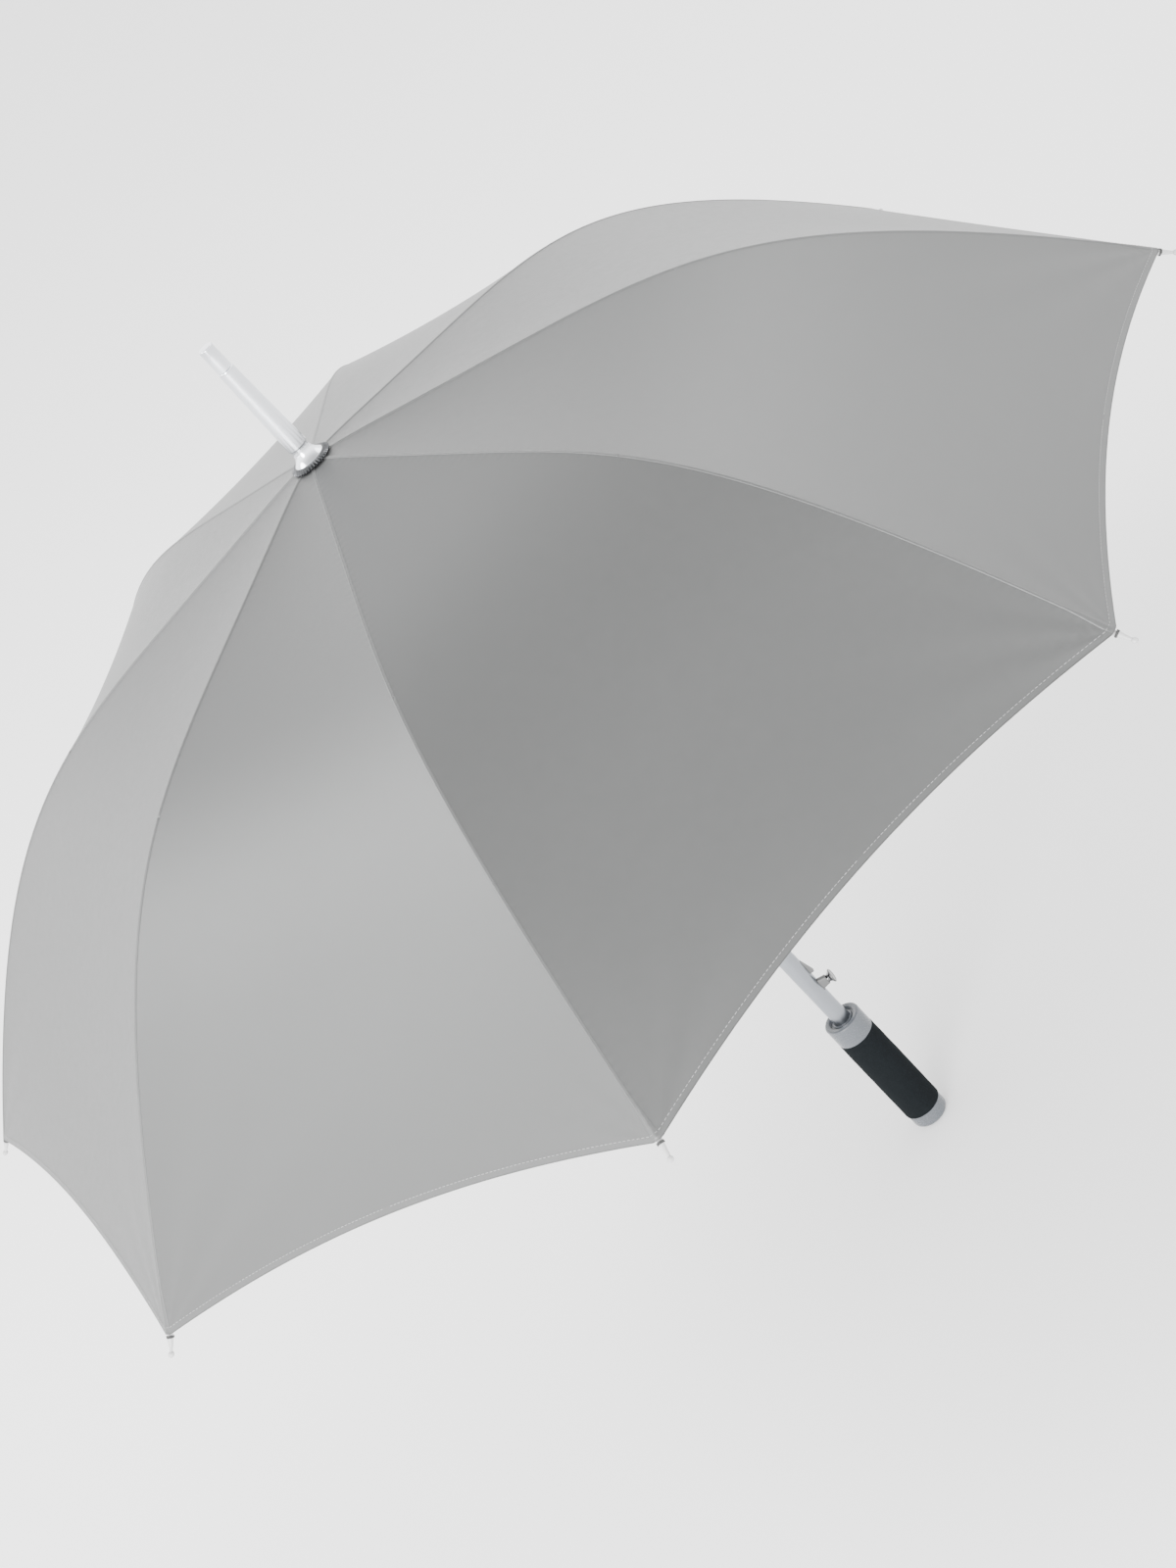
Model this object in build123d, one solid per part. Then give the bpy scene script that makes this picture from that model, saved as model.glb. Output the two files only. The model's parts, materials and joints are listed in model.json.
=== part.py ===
from build123d import *
import math
import os

# Stick umbrella with a spring that opens it. Millimetres, +Z along the shaft towards the ferrule,
# origin at the centre of the grip's flat end. Rib 1 and the push button lie along +X.
# The model is drawn open; its closed place only sets lengths and limits.

# Canopy
gore_count = 8
canopy_radius = 525.0
canopy_rise = 260.0
canopy_flat = 15.75
hem_rise = 20.0
cloth = 0.8
seam_gap = 0.3
cloth_gap = 0.3
cloth_hole_gap = 0.5
cloth_hole_inner = 1.0
cloth_steps = 12
hem_spare = 6.0
# Bezier control points of a seam line: shares of the way out and of the rise
seam_out = (0.0, 0.129, 0.490, 0.537, 1.0)
seam_up = (1.0, 0.968, 0.764, 1.008, 0.0)

# Ribs and stretchers
arm_length = 251.5
rib_width = 3.6
rib_height = 3.2
rib_skin = 1.0
rib_wall = 0.6
rib_gap = 1.4
tongue = 2.0
eye_radius = 2.0
eye_reach = 11.0
joint_drop = 5.0
joint_lug = 1.1
joint_lug_radius = 2.6
elbow_beyond = 9.0
stretcher_width = 3.4
stretcher_height = 3.0
closed_angle = 1.5
closed_chord_angle = 0.0
rivet_radius = 0.9
small_rivet_radius = 0.7
rivet_head = 0.6
small_rivet_head = 0.4
rivet_head_spread = 1.9
lug_short = 0.6
channel_end = 8.0
eye_root = 2.0
fork_depth = 3.4
fork_cut = 8.0
shoulder_gap = 0.7
outer_channel_start = 9.0
outer_channel_end = 4.0
stretcher_neck = 5.0
stretcher_neck_out = 1.6
stretcher_root = 4.0

# Rib tips
tip_socket = 15.0
tip_socket_wall = 0.45
tip_rib_end = 3.0
tip_reach = 11.5
tip_radius = 1.8
tip_end_radius = 1.2
tip_ball_radius = 2.2
tip_seat = 1.0
tip_floor = 2.0
tip_root = 0.5
tip_chamfer = 0.4

# Shaft, crown and runner
tube_radius = 7.0
tube_wall = 0.8
sleeve_wall = 2.1
slot_spare = 0.3
wire_radius = 0.6
flange_rim = 2.5
flange_half = 3.6
flange_root = 0.5
flange_chamfer = 0.6
crown_drop = 9.0
crown_skirt = 12.0
crown_pin_drop = 9.0
crown_pin_angle = 22.5
runner_top = 8.0
runner_tail = 52.0
runner_lip = 1.4
runner_lip_height = 3.0
runner_lip_chamfer = 0.5
stop_height = 2.0
stop_rise = 1.8
stop_groove = 0.3
drive_pin_radius = 1.4
drive_pin_drop = 10.0
carrier_height = 14.0
carrier_chamfer = 0.8
spring_radius = 4.2
spring_wire = 0.45
spring_turns = 18

# Latch
catch_drop = 45.2
catch_length = 13.0
catch_height = 3.0
catch_width = 3.2
catch_flat = 1.0
window_top_drop = 30.0
bar_thickness = 0.8
bar_width = 4.8
bar_inset = 0.8
bar_bend_rise = 10.0
bar_root = 0.3
bar_eye_wall = 1.0
catch_play = 0.75
latch_pivot_drop = 13.0
leaf_foot_drop = 5.0
leaf_bend_rise = 28.0
leaf_end_rise = 15.0
button_above_grip = 35.0
button_length = 10.0
button_width = 5.0
button_corner = 1.0
button_play = 0.9
button_stem = 6.0
button_cap_radius = 5.8
button_cap_thickness = 5.0
button_cap_dome = 1.1
button_cap_edge = 0.8
button_cap_flare = 1.4
button_gap = 1.2
latch_press = 3.1

# Grip and ferrule
grip_length = 119.0
collar_radius = 15.3
collar_round = 1.8
collar_lip = 1.2
core_root = 0.5
collar_height = 18.3
collar_recess_radius = 11.8
collar_recess = 1.6
core_radius = 10.0
foam_radius = 15.65
end_cap_radius = 14.85
end_cap_height = 13.0
end_cap_round = 4.0
end_spigot = 16.0
foam_round = 1.4
pin_radius = 1.0
ferrule_length = 106.0
ferrule_cap_length = 20.0
ferrule_cap_radius = 5.65
ferrule_cap_round = 1.2
ferrule_top_radius = 6.2
ferrule_neck_wall = 0.7
ferrule_flare_radius = 13.0
ferrule_flare_height = 14.5
ferrule_lip = 1.0
ferrule_bow_out = 0.24
ferrule_bow_up = 0.36
ferrule_spigot = 8.0
ferrule_spigot_radius = 3.0
tube_in_ferrule = 9.0
washer_radius = 15.8
washer_thickness = 1.4
washer_teeth = 40
washer_tooth = 0.8

# Clearances
running = 0.05
slide = 0.1
open_gap = 0.3

# How far a cutting shape runs past what it cuts, and the steps of a search by halving
past = 2.0
halvings = 60

# Worked-out radii
tube_inner = tube_radius - tube_wall
sleeve_bore = tube_radius + running
sleeve_radius = sleeve_bore + sleeve_wall
pivot_radius = sleeve_radius + open_gap + eye_radius
flange_radius = pivot_radius + flange_rim
rib_depth = cloth + rib_gap + rib_height / 2

# Worked-out heights, from the grip upwards
button_z = grip_length + button_above_grip
runner_closed_z = button_z + button_length / 2 + button_gap + runner_tail
crown_z = runner_closed_z + 2 * arm_length * math.cos(math.radians(closed_angle))
canopy_top = crown_z + crown_drop
corner_z = canopy_top - canopy_rise
washer_z = canopy_top + cloth_gap
ferrule_z = washer_z + washer_thickness
ferrule_end = ferrule_z + ferrule_length
tube_top = ferrule_z + tube_in_ferrule
catch_z = runner_closed_z - catch_drop
latch_pivot_z = grip_length - latch_pivot_drop
crown_pin_z = crown_z - crown_pin_drop


# ---- The seam line: a Bezier curve from the flat top to a corner ----

def bezier(shares, t):
    """Value at t of the curve whose control values are the shares."""
    n = len(shares) - 1
    return sum(math.comb(n, i) * (1 - t) ** (n - i) * t**i * s for i, s in enumerate(shares))


def bezier_slope(shares, t):
    """Derivative at t of the same curve."""
    n = len(shares) - 1
    steps = [n * (b - a) for a, b in zip(shares, shares[1:])]
    return bezier(steps, t)


def seam_point(t, depth):
    """Radius and height at t on the seam line, moved inwards from the cloth's outer face by depth."""
    reach = canopy_radius - canopy_flat
    radius = canopy_flat + reach * bezier(seam_out, t)
    height = corner_z + canopy_rise * bezier(seam_up, t)
    along = reach * bezier_slope(seam_out, t)
    down = canopy_rise * bezier_slope(seam_up, t)
    size = math.hypot(along, down)
    return radius + depth * down / size, height - depth * along / size


def seam_direction(t):
    """Unit direction of the seam line at t, outwards."""
    along = (canopy_radius - canopy_flat) * bezier_slope(seam_out, t)
    down = canopy_rise * bezier_slope(seam_up, t)
    size = math.hypot(along, down)
    return along / size, down / size


def solve(measure, target):
    """The t between 0 and 1 where a rising measure reaches its target."""
    low = 0.0
    high = 1.0
    for _ in range(halvings):
        middle = (low + high) / 2
        if measure(middle) < target:
            low = middle
        else:
            high = middle
    return (low + high) / 2


def gap(a, b):
    """Distance between two points of a rib's plane."""
    return math.hypot(a[0] - b[0], a[1] - b[1])


# Pivots in a rib's own plane, as (radius, height)
crown_pivot = (pivot_radius, crown_z)
joint_depth = rib_depth + joint_drop
joint_t = solve(lambda t: gap(seam_point(t, joint_depth), crown_pivot), arm_length)
joint_pivot = seam_point(joint_t, joint_depth)
joint_on_rib = seam_point(joint_t, rib_depth)
elbow_t = solve(lambda t: gap(seam_point(t, rib_depth), crown_pivot),
                gap(joint_on_rib, crown_pivot) + elbow_beyond)
elbow_pivot = seam_point(elbow_t, rib_depth)
open_angle = math.degrees(math.atan2(joint_pivot[0] - pivot_radius, crown_z - joint_pivot[1]))
fold_angle = open_angle - closed_angle
runner_open_z = crown_z - 2 * (crown_z - joint_pivot[1])
runner_pivot = (pivot_radius, runner_open_z)
corner = seam_point(1.0, rib_depth)
corner_direction = seam_direction(1.0)
outer_chord_angle = math.degrees(math.atan2(corner[0] - elbow_pivot[0], elbow_pivot[1] - corner[1]))
elbow_angle = fold_angle - outer_chord_angle + closed_chord_angle


# ---- Small shape helpers; rib pieces are drawn in the XZ plane at Y = 0 ----

def at(point):
    """A point of the rib plane in space."""
    return (point[0], 0.0, point[1])


def along(point, direction, distance):
    """The point at a distance from another in a unit direction."""
    return (point[0] + direction[0] * distance, point[1] + direction[1] * distance)


def direction_to(a, b):
    """Unit direction from a to b."""
    size = gap(a, b)
    return (b[0] - a[0]) / size, (b[1] - a[1]) / size


def cross_pin(point, radius, length, y=0.0):
    """Cylinder along Y centred on a point of the rib plane."""
    return Pos(point[0], y, point[1]) * Rot(90, 0, 0) * Cylinder(radius, length)


def plate(corners, width, y=0.0):
    """Flat plate: a polygon of the rib plane, given its width along Y."""
    outline = Polyline(*[at(p) for p in corners], close=True)
    return Pos(0, y, 0) * extrude(make_face(outline), amount=width / 2, both=True)


def link(a, b, height, width, y=0.0):
    """Straight bar from a to b."""
    run = direction_to(a, b)
    side = (-run[1] * height / 2, run[0] * height / 2)
    corners = [
        (a[0] + side[0], a[1] + side[1]),
        (b[0] + side[0], b[1] + side[1]),
        (b[0] - side[0], b[1] - side[1]),
        (a[0] - side[0], a[1] - side[1]),
    ]
    return plate(corners, width, y)


def strip(start_t, end_t, top_depth, bottom_depth, width, points=9):
    """Curved bar that follows the seam line between two depths below the cloth."""
    steps = [start_t + (end_t - start_t) * i / (points - 1) for i in range(points)]
    top = Spline(*[at(seam_point(t, top_depth)) for t in steps])
    bottom = Spline(*[at(seam_point(t, bottom_depth)) for t in steps])
    ends = [Line(top @ 0, bottom @ 0), Line(top @ 1, bottom @ 1)]
    return extrude(make_face([top, bottom, *ends]), amount=width / 2, both=True)


def tube(outer, inner, low, high):
    """Round tube about Z."""
    height = high - low
    body = Pos(0, 0, (low + high) / 2) * Cylinder(outer, height)
    return body - Pos(0, 0, (low + high) / 2) * Cylinder(inner, height + past)


def slab(x_low, x_high, width, z_low, z_high):
    """Box centred on Y = 0."""
    centre = Pos((x_low + x_high) / 2, 0, (z_low + z_high) / 2)
    return centre * Box(x_high - x_low, width, z_high - z_low)


def turned(outline):
    """Solid of revolution about Z of a closed list of edges in the XZ plane."""
    return revolve(make_face(outline), axis=Axis.Z)


def rivet(point, radius, grip, head):
    """Rivet along Y with a flat head at each end."""
    body = cross_pin(point, radius, grip)
    for sign in (-1, 1):
        body += cross_pin(point, rivet_head_spread * radius, head, sign * (grip + head) / 2)
    return body


def eight(shape):
    """Copies of a shape at every rib's azimuth, as (number, shape)."""
    return [(i + 1, Rot(0, 0, 360 / gore_count * i) * shape) for i in range(gore_count)]


def t_after(t, distance):
    """The t at this straight distance from t along the rib's centre line; a negative one is inwards."""
    start = seam_point(t, rib_depth)
    return solve(lambda s: math.copysign(gap(seam_point(s, rib_depth), start), s - t), distance)


# ---- Ribs ----

def channel(start_t, end_t):
    """The open channel along a rib's underside."""
    top = rib_depth - rib_height / 2 + rib_skin
    return strip(start_t, end_t, top, top + rib_height, rib_width - 2 * rib_wall)


def rib_inner():
    """Inner rib: crown eye, curved channel, two lugs for the stretcher, forked outer end."""
    top = rib_depth - rib_height / 2
    start_t = solve(lambda t: seam_point(t, rib_depth)[0], pivot_radius + eye_reach)
    start = seam_point(start_t, rib_depth)
    body = strip(start_t, elbow_t, top, top + rib_height, rib_width)
    body += cross_pin(elbow_pivot, rib_height / 2, rib_width)
    body += link(crown_pivot, along(start, seam_direction(start_t), eye_root), rib_height, tongue)
    body += cross_pin(crown_pivot, eye_radius, tongue)
    lug_top = along(joint_on_rib, direction_to(joint_pivot, joint_on_rib), -lug_short)
    lug_y = tongue / 2 + slide + joint_lug / 2
    for sign in (-1, 1):
        body += link(joint_pivot, lug_top, 2 * joint_lug_radius, joint_lug, sign * lug_y)
        body += cross_pin(joint_pivot, joint_lug_radius, joint_lug, sign * lug_y)
    body -= channel(t_after(start_t, channel_end), t_after(joint_t, -channel_end))
    mouth = along(elbow_pivot, direction_to(joint_on_rib, elbow_pivot), -fork_depth)
    fork_end = along(mouth, direction_to(mouth, elbow_pivot), fork_cut)
    body -= link(mouth, fork_end, 2 * rib_height, tongue + 2 * slide)
    body -= cross_pin(crown_pivot, wire_radius + 3 * running, 2 * tongue)
    body -= cross_pin(joint_pivot, rivet_radius + running, 3 * rib_width)
    body -= cross_pin(elbow_pivot, small_rivet_radius + running, 3 * rib_width)
    joint_grip = 2 * (tongue / 2 + slide + joint_lug)
    stretcher_rivet = rivet(joint_pivot, rivet_radius, joint_grip, rivet_head)
    elbow_rivet = rivet(elbow_pivot, small_rivet_radius, rib_width, small_rivet_head)
    return [body, stretcher_rivet, elbow_rivet]


def rib_outer():
    """Outer rib: tongue at the elbow, curved channel, straight end that plugs into the tip."""
    top = rib_depth - rib_height / 2
    shoulder_t = t_after(elbow_t, rib_height / 2 + shoulder_gap)
    end_t = t_after(1.0, -tip_socket - tip_seat)
    body = strip(shoulder_t, end_t, top, top + rib_height, rib_width)
    neck = seam_point(t_after(elbow_t, rib_height), rib_depth)
    body += link(elbow_pivot, neck, rib_height - 2 * slide, tongue)
    body += cross_pin(elbow_pivot, rib_height / 2 - slide, tongue)
    body -= channel(t_after(elbow_t, outer_channel_start), t_after(end_t, -outer_channel_end))
    body += link(seam_point(end_t, rib_depth), along(corner, corner_direction, -tip_rib_end),
                 rib_height, rib_width)
    body -= cross_pin(elbow_pivot, small_rivet_radius + running, 3 * rib_width)
    return [body]


def rib_tip():
    """Moulded tip: a socket over the rib's end, a tapered shank past the cloth's corner, a ball."""
    back = along(corner, corner_direction, -tip_socket + tip_seat)
    front = along(corner, corner_direction, -tip_rib_end + tip_floor)
    end = along(corner, corner_direction, tip_reach)
    body = link(back, front, rib_height + 2 * tip_socket_wall, rib_width + 2 * tip_socket_wall)
    body = chamfer(body.edges().filter_by(Axis.Y), tip_chamfer)
    run = direction_to(front, end)
    tilt = Plane(origin=at(along(front, run, -tip_root)), z_dir=(run[0], 0, run[1]))
    shank_length = gap(front, end) + tip_root
    shank = Cone(tip_radius, tip_end_radius, shank_length, align=(Align.CENTER, Align.CENTER, Align.MIN))
    body += tilt * shank
    body += Pos(*at(end)) * Sphere(tip_ball_radius)
    bore_start = along(back, corner_direction, -tip_seat)
    bore_end = along(corner, corner_direction, -tip_rib_end + slide)
    body -= link(bore_start, bore_end, rib_height + 2 * slide, rib_width + 2 * slide)
    return [body]


def stretcher():
    """Straight channel bar from the runner to the rib's lugs, with a flat eye at each end."""
    run = direction_to(runner_pivot, joint_pivot)
    low = along(runner_pivot, run, flange_rim + stretcher_neck)
    high = along(joint_pivot, run, -(joint_lug_radius + stretcher_neck_out))
    body = link(low, high, stretcher_height, stretcher_width)
    inside_low = along(low, run, stretcher_root)
    inside_high = along(high, run, -stretcher_root)
    inside_width = stretcher_width - 2 * rib_wall
    body -= Pos(0, 0, -rib_skin) * link(inside_low, inside_high, stretcher_height, inside_width)
    body += link(runner_pivot, inside_low, stretcher_height, tongue)
    body += link(joint_pivot, inside_high, stretcher_height, tongue)
    body += cross_pin(runner_pivot, eye_radius, tongue)
    body += cross_pin(joint_pivot, eye_radius - 2 * slide, tongue)
    body -= cross_pin(runner_pivot, wire_radius + 3 * running, 2 * tongue)
    body -= cross_pin(joint_pivot, rivet_radius + running, 2 * tongue)
    return [body]


# ---- Canopy ----

def canopy_panel():
    """One gore: the seam line carried straight across the gore, cut by its seams and its curved hem."""
    half = math.pi / gore_count
    shrink = math.cos(half)
    steps = [i / cloth_steps for i in range(cloth_steps + 1)]
    top_line = [(r * shrink, z) for r, z in (seam_point(t, 0.0) for t in steps)]
    bottom_line = [(r * shrink, z) for r, z in (seam_point(t, cloth) for t in steps)]
    bottom_line[0] = (top_line[0][0], top_line[0][1] - cloth)
    beyond = seam_direction(1.0)
    top_end = along(top_line[-1], beyond, hem_spare)
    bottom_end = along(bottom_line[-1], beyond, hem_spare)
    top = Spline(*[at(p) for p in top_line])
    bottom = Spline(*[at(p) for p in bottom_line])
    outline = [
        Line(at((cloth_hole_inner, canopy_top)), top @ 0),
        top,
        Line(top @ 1, at(top_end)),
        Line(at(top_end), at(bottom_end)),
        Line(at(bottom_end), bottom @ 1),
        bottom,
        Line(bottom @ 0, at((cloth_hole_inner, canopy_top - cloth))),
        Line(at((cloth_hole_inner, canopy_top - cloth)), at((cloth_hole_inner, canopy_top))),
    ]
    sheet = extrude(make_face(outline), amount=canopy_radius, both=True)
    apex = (seam_gap / 2) / math.sin(half)
    reach = canopy_radius - apex
    corner_x = apex + reach * math.cos(half)
    corner_y = reach * math.sin(half)
    hem_x = (canopy_radius - hem_rise * seam_direction(1.0)[0]) * shrink
    plan = [
        Line((apex, 0), (corner_x, -corner_y)),
        ThreePointArc((corner_x, -corner_y), (hem_x, 0), (corner_x, corner_y)),
        Line((corner_x, corner_y), (apex, 0)),
    ]
    wedge = Pos(0, 0, corner_z - canopy_rise / 2) * extrude(make_face(plan), amount=2 * canopy_rise)
    gore = (sheet & wedge) - Pos(0, 0, canopy_top) * Cylinder(tube_radius + cloth_hole_gap, canopy_rise)
    return [Rot(0, 0, 180 / gore_count) * gore]


# ---- Crown and runner ----

def slotted_flange(z):
    """Flange with a slot for each rib or stretcher eye and a round groove for the pivot wire."""
    flange = tube(flange_radius, sleeve_radius - flange_root, z - flange_half, z + flange_half)
    flange = chamfer(flange.edges().filter_by(GeomType.CIRCLE).sort_by(SortBy.RADIUS)[-2:], flange_chamfer)
    slot_start = pivot_radius - eye_radius - open_gap / 2
    reach = flange_half + past
    cut = slab(slot_start, flange_radius + past, tongue + 2 * slot_spare, z - reach, z + reach)
    for _, one in eight(cut):
        flange -= one
    return flange - Pos(0, 0, z) * Torus(pivot_radius, wire_radius + running)


def pivot_wire(z):
    """Closed wire ring that threads the eyes."""
    return [Pos(0, 0, z) * Torus(pivot_radius, wire_radius)]


def crown():
    """Top notch: hub under the cloth, slotted flange, pinned skirt."""
    body = tube(sleeve_radius, sleeve_bore, crown_z - crown_skirt, canopy_top - cloth - cloth_gap)
    body += slotted_flange(crown_z)
    pin = Rot(0, 0, crown_pin_angle) * Pos(0, 0, crown_pin_z) * Rot(0, 90, 0)
    return [body - pin * Cylinder(pin_radius + running, 4 * sleeve_radius)]


def runner():
    """Runner: long sleeve with a catch window, lipped lower end and slotted flange."""
    z = runner_open_z
    low = z - runner_tail
    body = tube(sleeve_radius, sleeve_bore, low, z + runner_top)
    lip = tube(sleeve_radius + runner_lip, sleeve_bore, low, low + runner_lip_height)
    body += chamfer(lip.edges().filter_by(GeomType.CIRCLE).sort_by(SortBy.RADIUS)[-2:], runner_lip_chamfer)
    body += slotted_flange(z)
    window_low = z - catch_drop - open_gap
    body -= slab(0, sleeve_radius + past, catch_width + 2 * open_gap, window_low, z - window_top_drop)
    hole = Pos(-sleeve_radius, 0, z - drive_pin_drop) * Rot(0, 90, 0)
    return [body - hole * Cylinder(drive_pin_radius + running, 2 * sleeve_radius)]


def spring_carrier():
    """Plug inside the tube with the drive pin that reaches through the slot into the runner."""
    z = runner_open_z - drive_pin_drop
    body = Pos(0, 0, z) * Cylinder(tube_inner - open_gap, carrier_height)
    body = chamfer(body.edges().filter_by(GeomType.CIRCLE), carrier_chamfer)
    pin_end = sleeve_radius - slide
    pin = Pos(-pin_end / 2, 0, z) * Rot(0, 90, 0) * Cylinder(drive_pin_radius, pin_end)
    return [body + pin]


def main_spring():
    """Tension coil between the crown pin and the carrier."""
    low = runner_open_z - drive_pin_drop + carrier_height / 2 + spring_wire + open_gap
    high = crown_pin_z - pin_radius - spring_wire - open_gap
    coil = Helix(pitch=(high - low) / spring_turns, height=high - low, radius=spring_radius)
    section = Plane(origin=coil @ 0, z_dir=coil % 0) * Circle(spring_wire)
    return [Pos(0, 0, low) * sweep(section, path=coil)]


def stop_ring():
    """Snap ring in a groove of the tube that stops the runner when the canopy is open."""
    low = runner_open_z + runner_top + open_gap
    inner = tube_radius - stop_groove + running
    ring = tube(tube_radius + stop_rise, inner, low, low + stop_height)
    return [ring]


# ---- Shaft ----

def shaft_tube():
    """Long tube with the drive slot behind, and the catch slot and button hole in front."""
    body = tube(tube_radius, tube_inner, end_cap_height, tube_top)
    slot_low = runner_closed_z - drive_pin_drop - drive_pin_radius - open_gap
    slot_high = runner_open_z - drive_pin_drop + drive_pin_radius + open_gap
    body -= slab(-2 * tube_radius, 0, 2 * (drive_pin_radius + slide), slot_low, slot_high)
    body -= slab(0, 2 * tube_radius, catch_width + 2 * open_gap,
                 catch_z - open_gap, catch_z + catch_length + catch_play)
    body -= slab(0, 2 * tube_radius, button_width + 2 * open_gap,
                 button_z - button_length / 2 - open_gap, button_z + button_length / 2 + button_play)
    groove_low = runner_open_z + runner_top + open_gap
    body -= tube(tube_radius + past, tube_radius - stop_groove, groove_low, groove_low + stop_height)
    for pin in pin_places():
        body -= pin * Cylinder(pin_radius + running, 4 * tube_radius)
    return [body]


def pin_places():
    """Places of the crown pin, the latch pin and the grip pin."""
    return [
        Rot(0, 0, crown_pin_angle) * Pos(0, 0, crown_pin_z) * Rot(0, 90, 0),
        Pos(0, 0, latch_pivot_z) * Rot(90, 0, 0),
        Pos(0, 0, end_cap_height + end_spigot / 2) * Rot(90, 0, 0),
    ]


def shaft_pins():
    """Crown pin, latch pin and grip pin."""
    lengths = [2 * (sleeve_radius - slide), 2 * tube_radius - open_gap, 2 * (core_radius - 2 * slide)]
    return [place * Cylinder(pin_radius, length) for place, length in zip(pin_places(), lengths)]


def ferrule():
    """Tapered ferrule with a trumpet-shaped foot, bored for the tube below and for its cap above."""
    shoulder = ferrule_end - ferrule_cap_length
    neck = tube_radius + ferrule_neck_wall
    neck_z = ferrule_z + ferrule_flare_height
    lip_z = ferrule_z + ferrule_lip
    bow = (neck + (ferrule_flare_radius - neck) * ferrule_bow_out, lip_z + (neck_z - lip_z) * ferrule_bow_up)
    outline = [
        Line((0, 0, ferrule_z), (ferrule_flare_radius, 0, ferrule_z)),
        Line((ferrule_flare_radius, 0, ferrule_z), (ferrule_flare_radius, 0, lip_z)),
        ThreePointArc((ferrule_flare_radius, 0, lip_z), at(bow), (neck, 0, neck_z)),
        Line((neck, 0, neck_z), (ferrule_top_radius, 0, shoulder)),
        Line((ferrule_top_radius, 0, shoulder), (0, 0, shoulder)),
        Line((0, 0, shoulder), (0, 0, ferrule_z)),
    ]
    body = turned(outline)
    body -= Pos(0, 0, ferrule_z + tube_in_ferrule / 2) * Cylinder(sleeve_bore, tube_in_ferrule)
    spigot_bore = ferrule_spigot + open_gap
    body -= Pos(0, 0, shoulder - spigot_bore / 2) * Cylinder(ferrule_spigot_radius + running, spigot_bore)
    return [body]


def ferrule_cap():
    """Blunt end cap with a spigot."""
    shoulder = ferrule_end - ferrule_cap_length
    cap = Pos(0, 0, shoulder + ferrule_cap_length / 2) * Cylinder(ferrule_cap_radius, ferrule_cap_length)
    cap = fillet(cap.edges().group_by(Axis.Z)[-1], ferrule_cap_round)
    return [cap + Pos(0, 0, shoulder - ferrule_spigot / 2) * Cylinder(ferrule_spigot_radius, ferrule_spigot)]


def serrated_washer():
    """Toothed washer that clamps the cloth under the ferrule."""
    points = []
    for i in range(2 * washer_teeth):
        radius = washer_radius - (washer_tooth if i % 2 else 0.0)
        angle = math.pi * i / washer_teeth
        points.append((radius * math.cos(angle), radius * math.sin(angle)))
    blank = extrude(make_face(Polyline(*points, close=True)), amount=washer_thickness)
    return [Pos(0, 0, washer_z) * (blank - Cylinder(sleeve_bore, 4 * washer_thickness))]


# ---- Latch ----

def bar_face():
    """Distance from the shaft's axis to the latch bar's outer face."""
    return tube_inner - bar_inset


def latch_bar():
    """Flat bar inside the tube, hung on the latch pin, that carries the catch and the button."""
    face = bar_face()
    middle = face - bar_thickness / 2
    bend = (middle, latch_pivot_z + bar_bend_rise)
    pivot = (0.0, latch_pivot_z)
    body = slab(face - bar_thickness, face, bar_width, bend[1], catch_z + catch_length)
    body += link(pivot, along(bend, direction_to(pivot, bend), bar_root), bar_thickness, bar_width)
    body += cross_pin(pivot, pin_radius + bar_eye_wall, bar_width)
    return [body - cross_pin(pivot, pin_radius + running, 2 * bar_width)]


def hold_down_catch():
    """Ramp that the runner rides over; its steep lower end holds the closed runner."""
    face = bar_face()
    peak = tube_radius + catch_height
    outline = [
        (face, catch_z),
        (peak, catch_z),
        (peak, catch_z + catch_flat),
        (tube_radius, catch_z + catch_length),
        (face, catch_z + catch_length),
    ]
    return [plate(outline, catch_width)]


def push_button():
    """Flat stem of the push button, standing on the latch bar."""
    outer = tube_radius + button_stem
    stem = slab(bar_face(), outer, button_width, button_z - button_length / 2, button_z + button_length / 2)
    return [fillet(stem.edges().filter_by(Axis.X), button_corner)]


def button_cap():
    """Round flared cap of the push button, with a domed face."""
    base = tube_radius + button_stem
    top = base + button_cap_thickness
    rim = top - button_cap_dome
    edge = rim - button_cap_edge
    waist = button_cap_radius - button_cap_flare
    dome_radius = (button_cap_radius**2 + button_cap_dome**2) / (2 * button_cap_dome)
    half = math.asin(button_cap_radius / dome_radius) / 2
    crest = (dome_radius * math.sin(half), 0, top - dome_radius * (1 - math.cos(half)))
    outline = [
        Line((0, 0, base), (waist, 0, base)),
        Line((waist, 0, base), (button_cap_radius, 0, edge)),
        Line((button_cap_radius, 0, edge), (button_cap_radius, 0, rim)),
        ThreePointArc((button_cap_radius, 0, rim), crest, (0, 0, top)),
        Line((0, 0, top), (0, 0, base)),
    ]
    return [Pos(0, 0, button_z) * Rot(0, 90, 0) * turned(outline)]


def latch_spring():
    """Bent leaf that bears on the tube's back wall and pushes the latch bar outwards."""
    half = bar_thickness / 2
    wall = -(math.sqrt(tube_inner**2 - (bar_width / 2) ** 2) - half - slide)
    foot = (wall, latch_pivot_z - leaf_foot_drop)
    bend = (wall, latch_pivot_z + leaf_bend_rise)
    free = (bar_face() - bar_thickness - 2 * open_gap - half, latch_pivot_z + leaf_end_rise)
    body = link(foot, bend, bar_thickness, bar_width)
    body += link(bend, free, bar_thickness, bar_width)
    return [body + cross_pin(bend, half, bar_width)]


# ---- Grip ----

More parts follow.
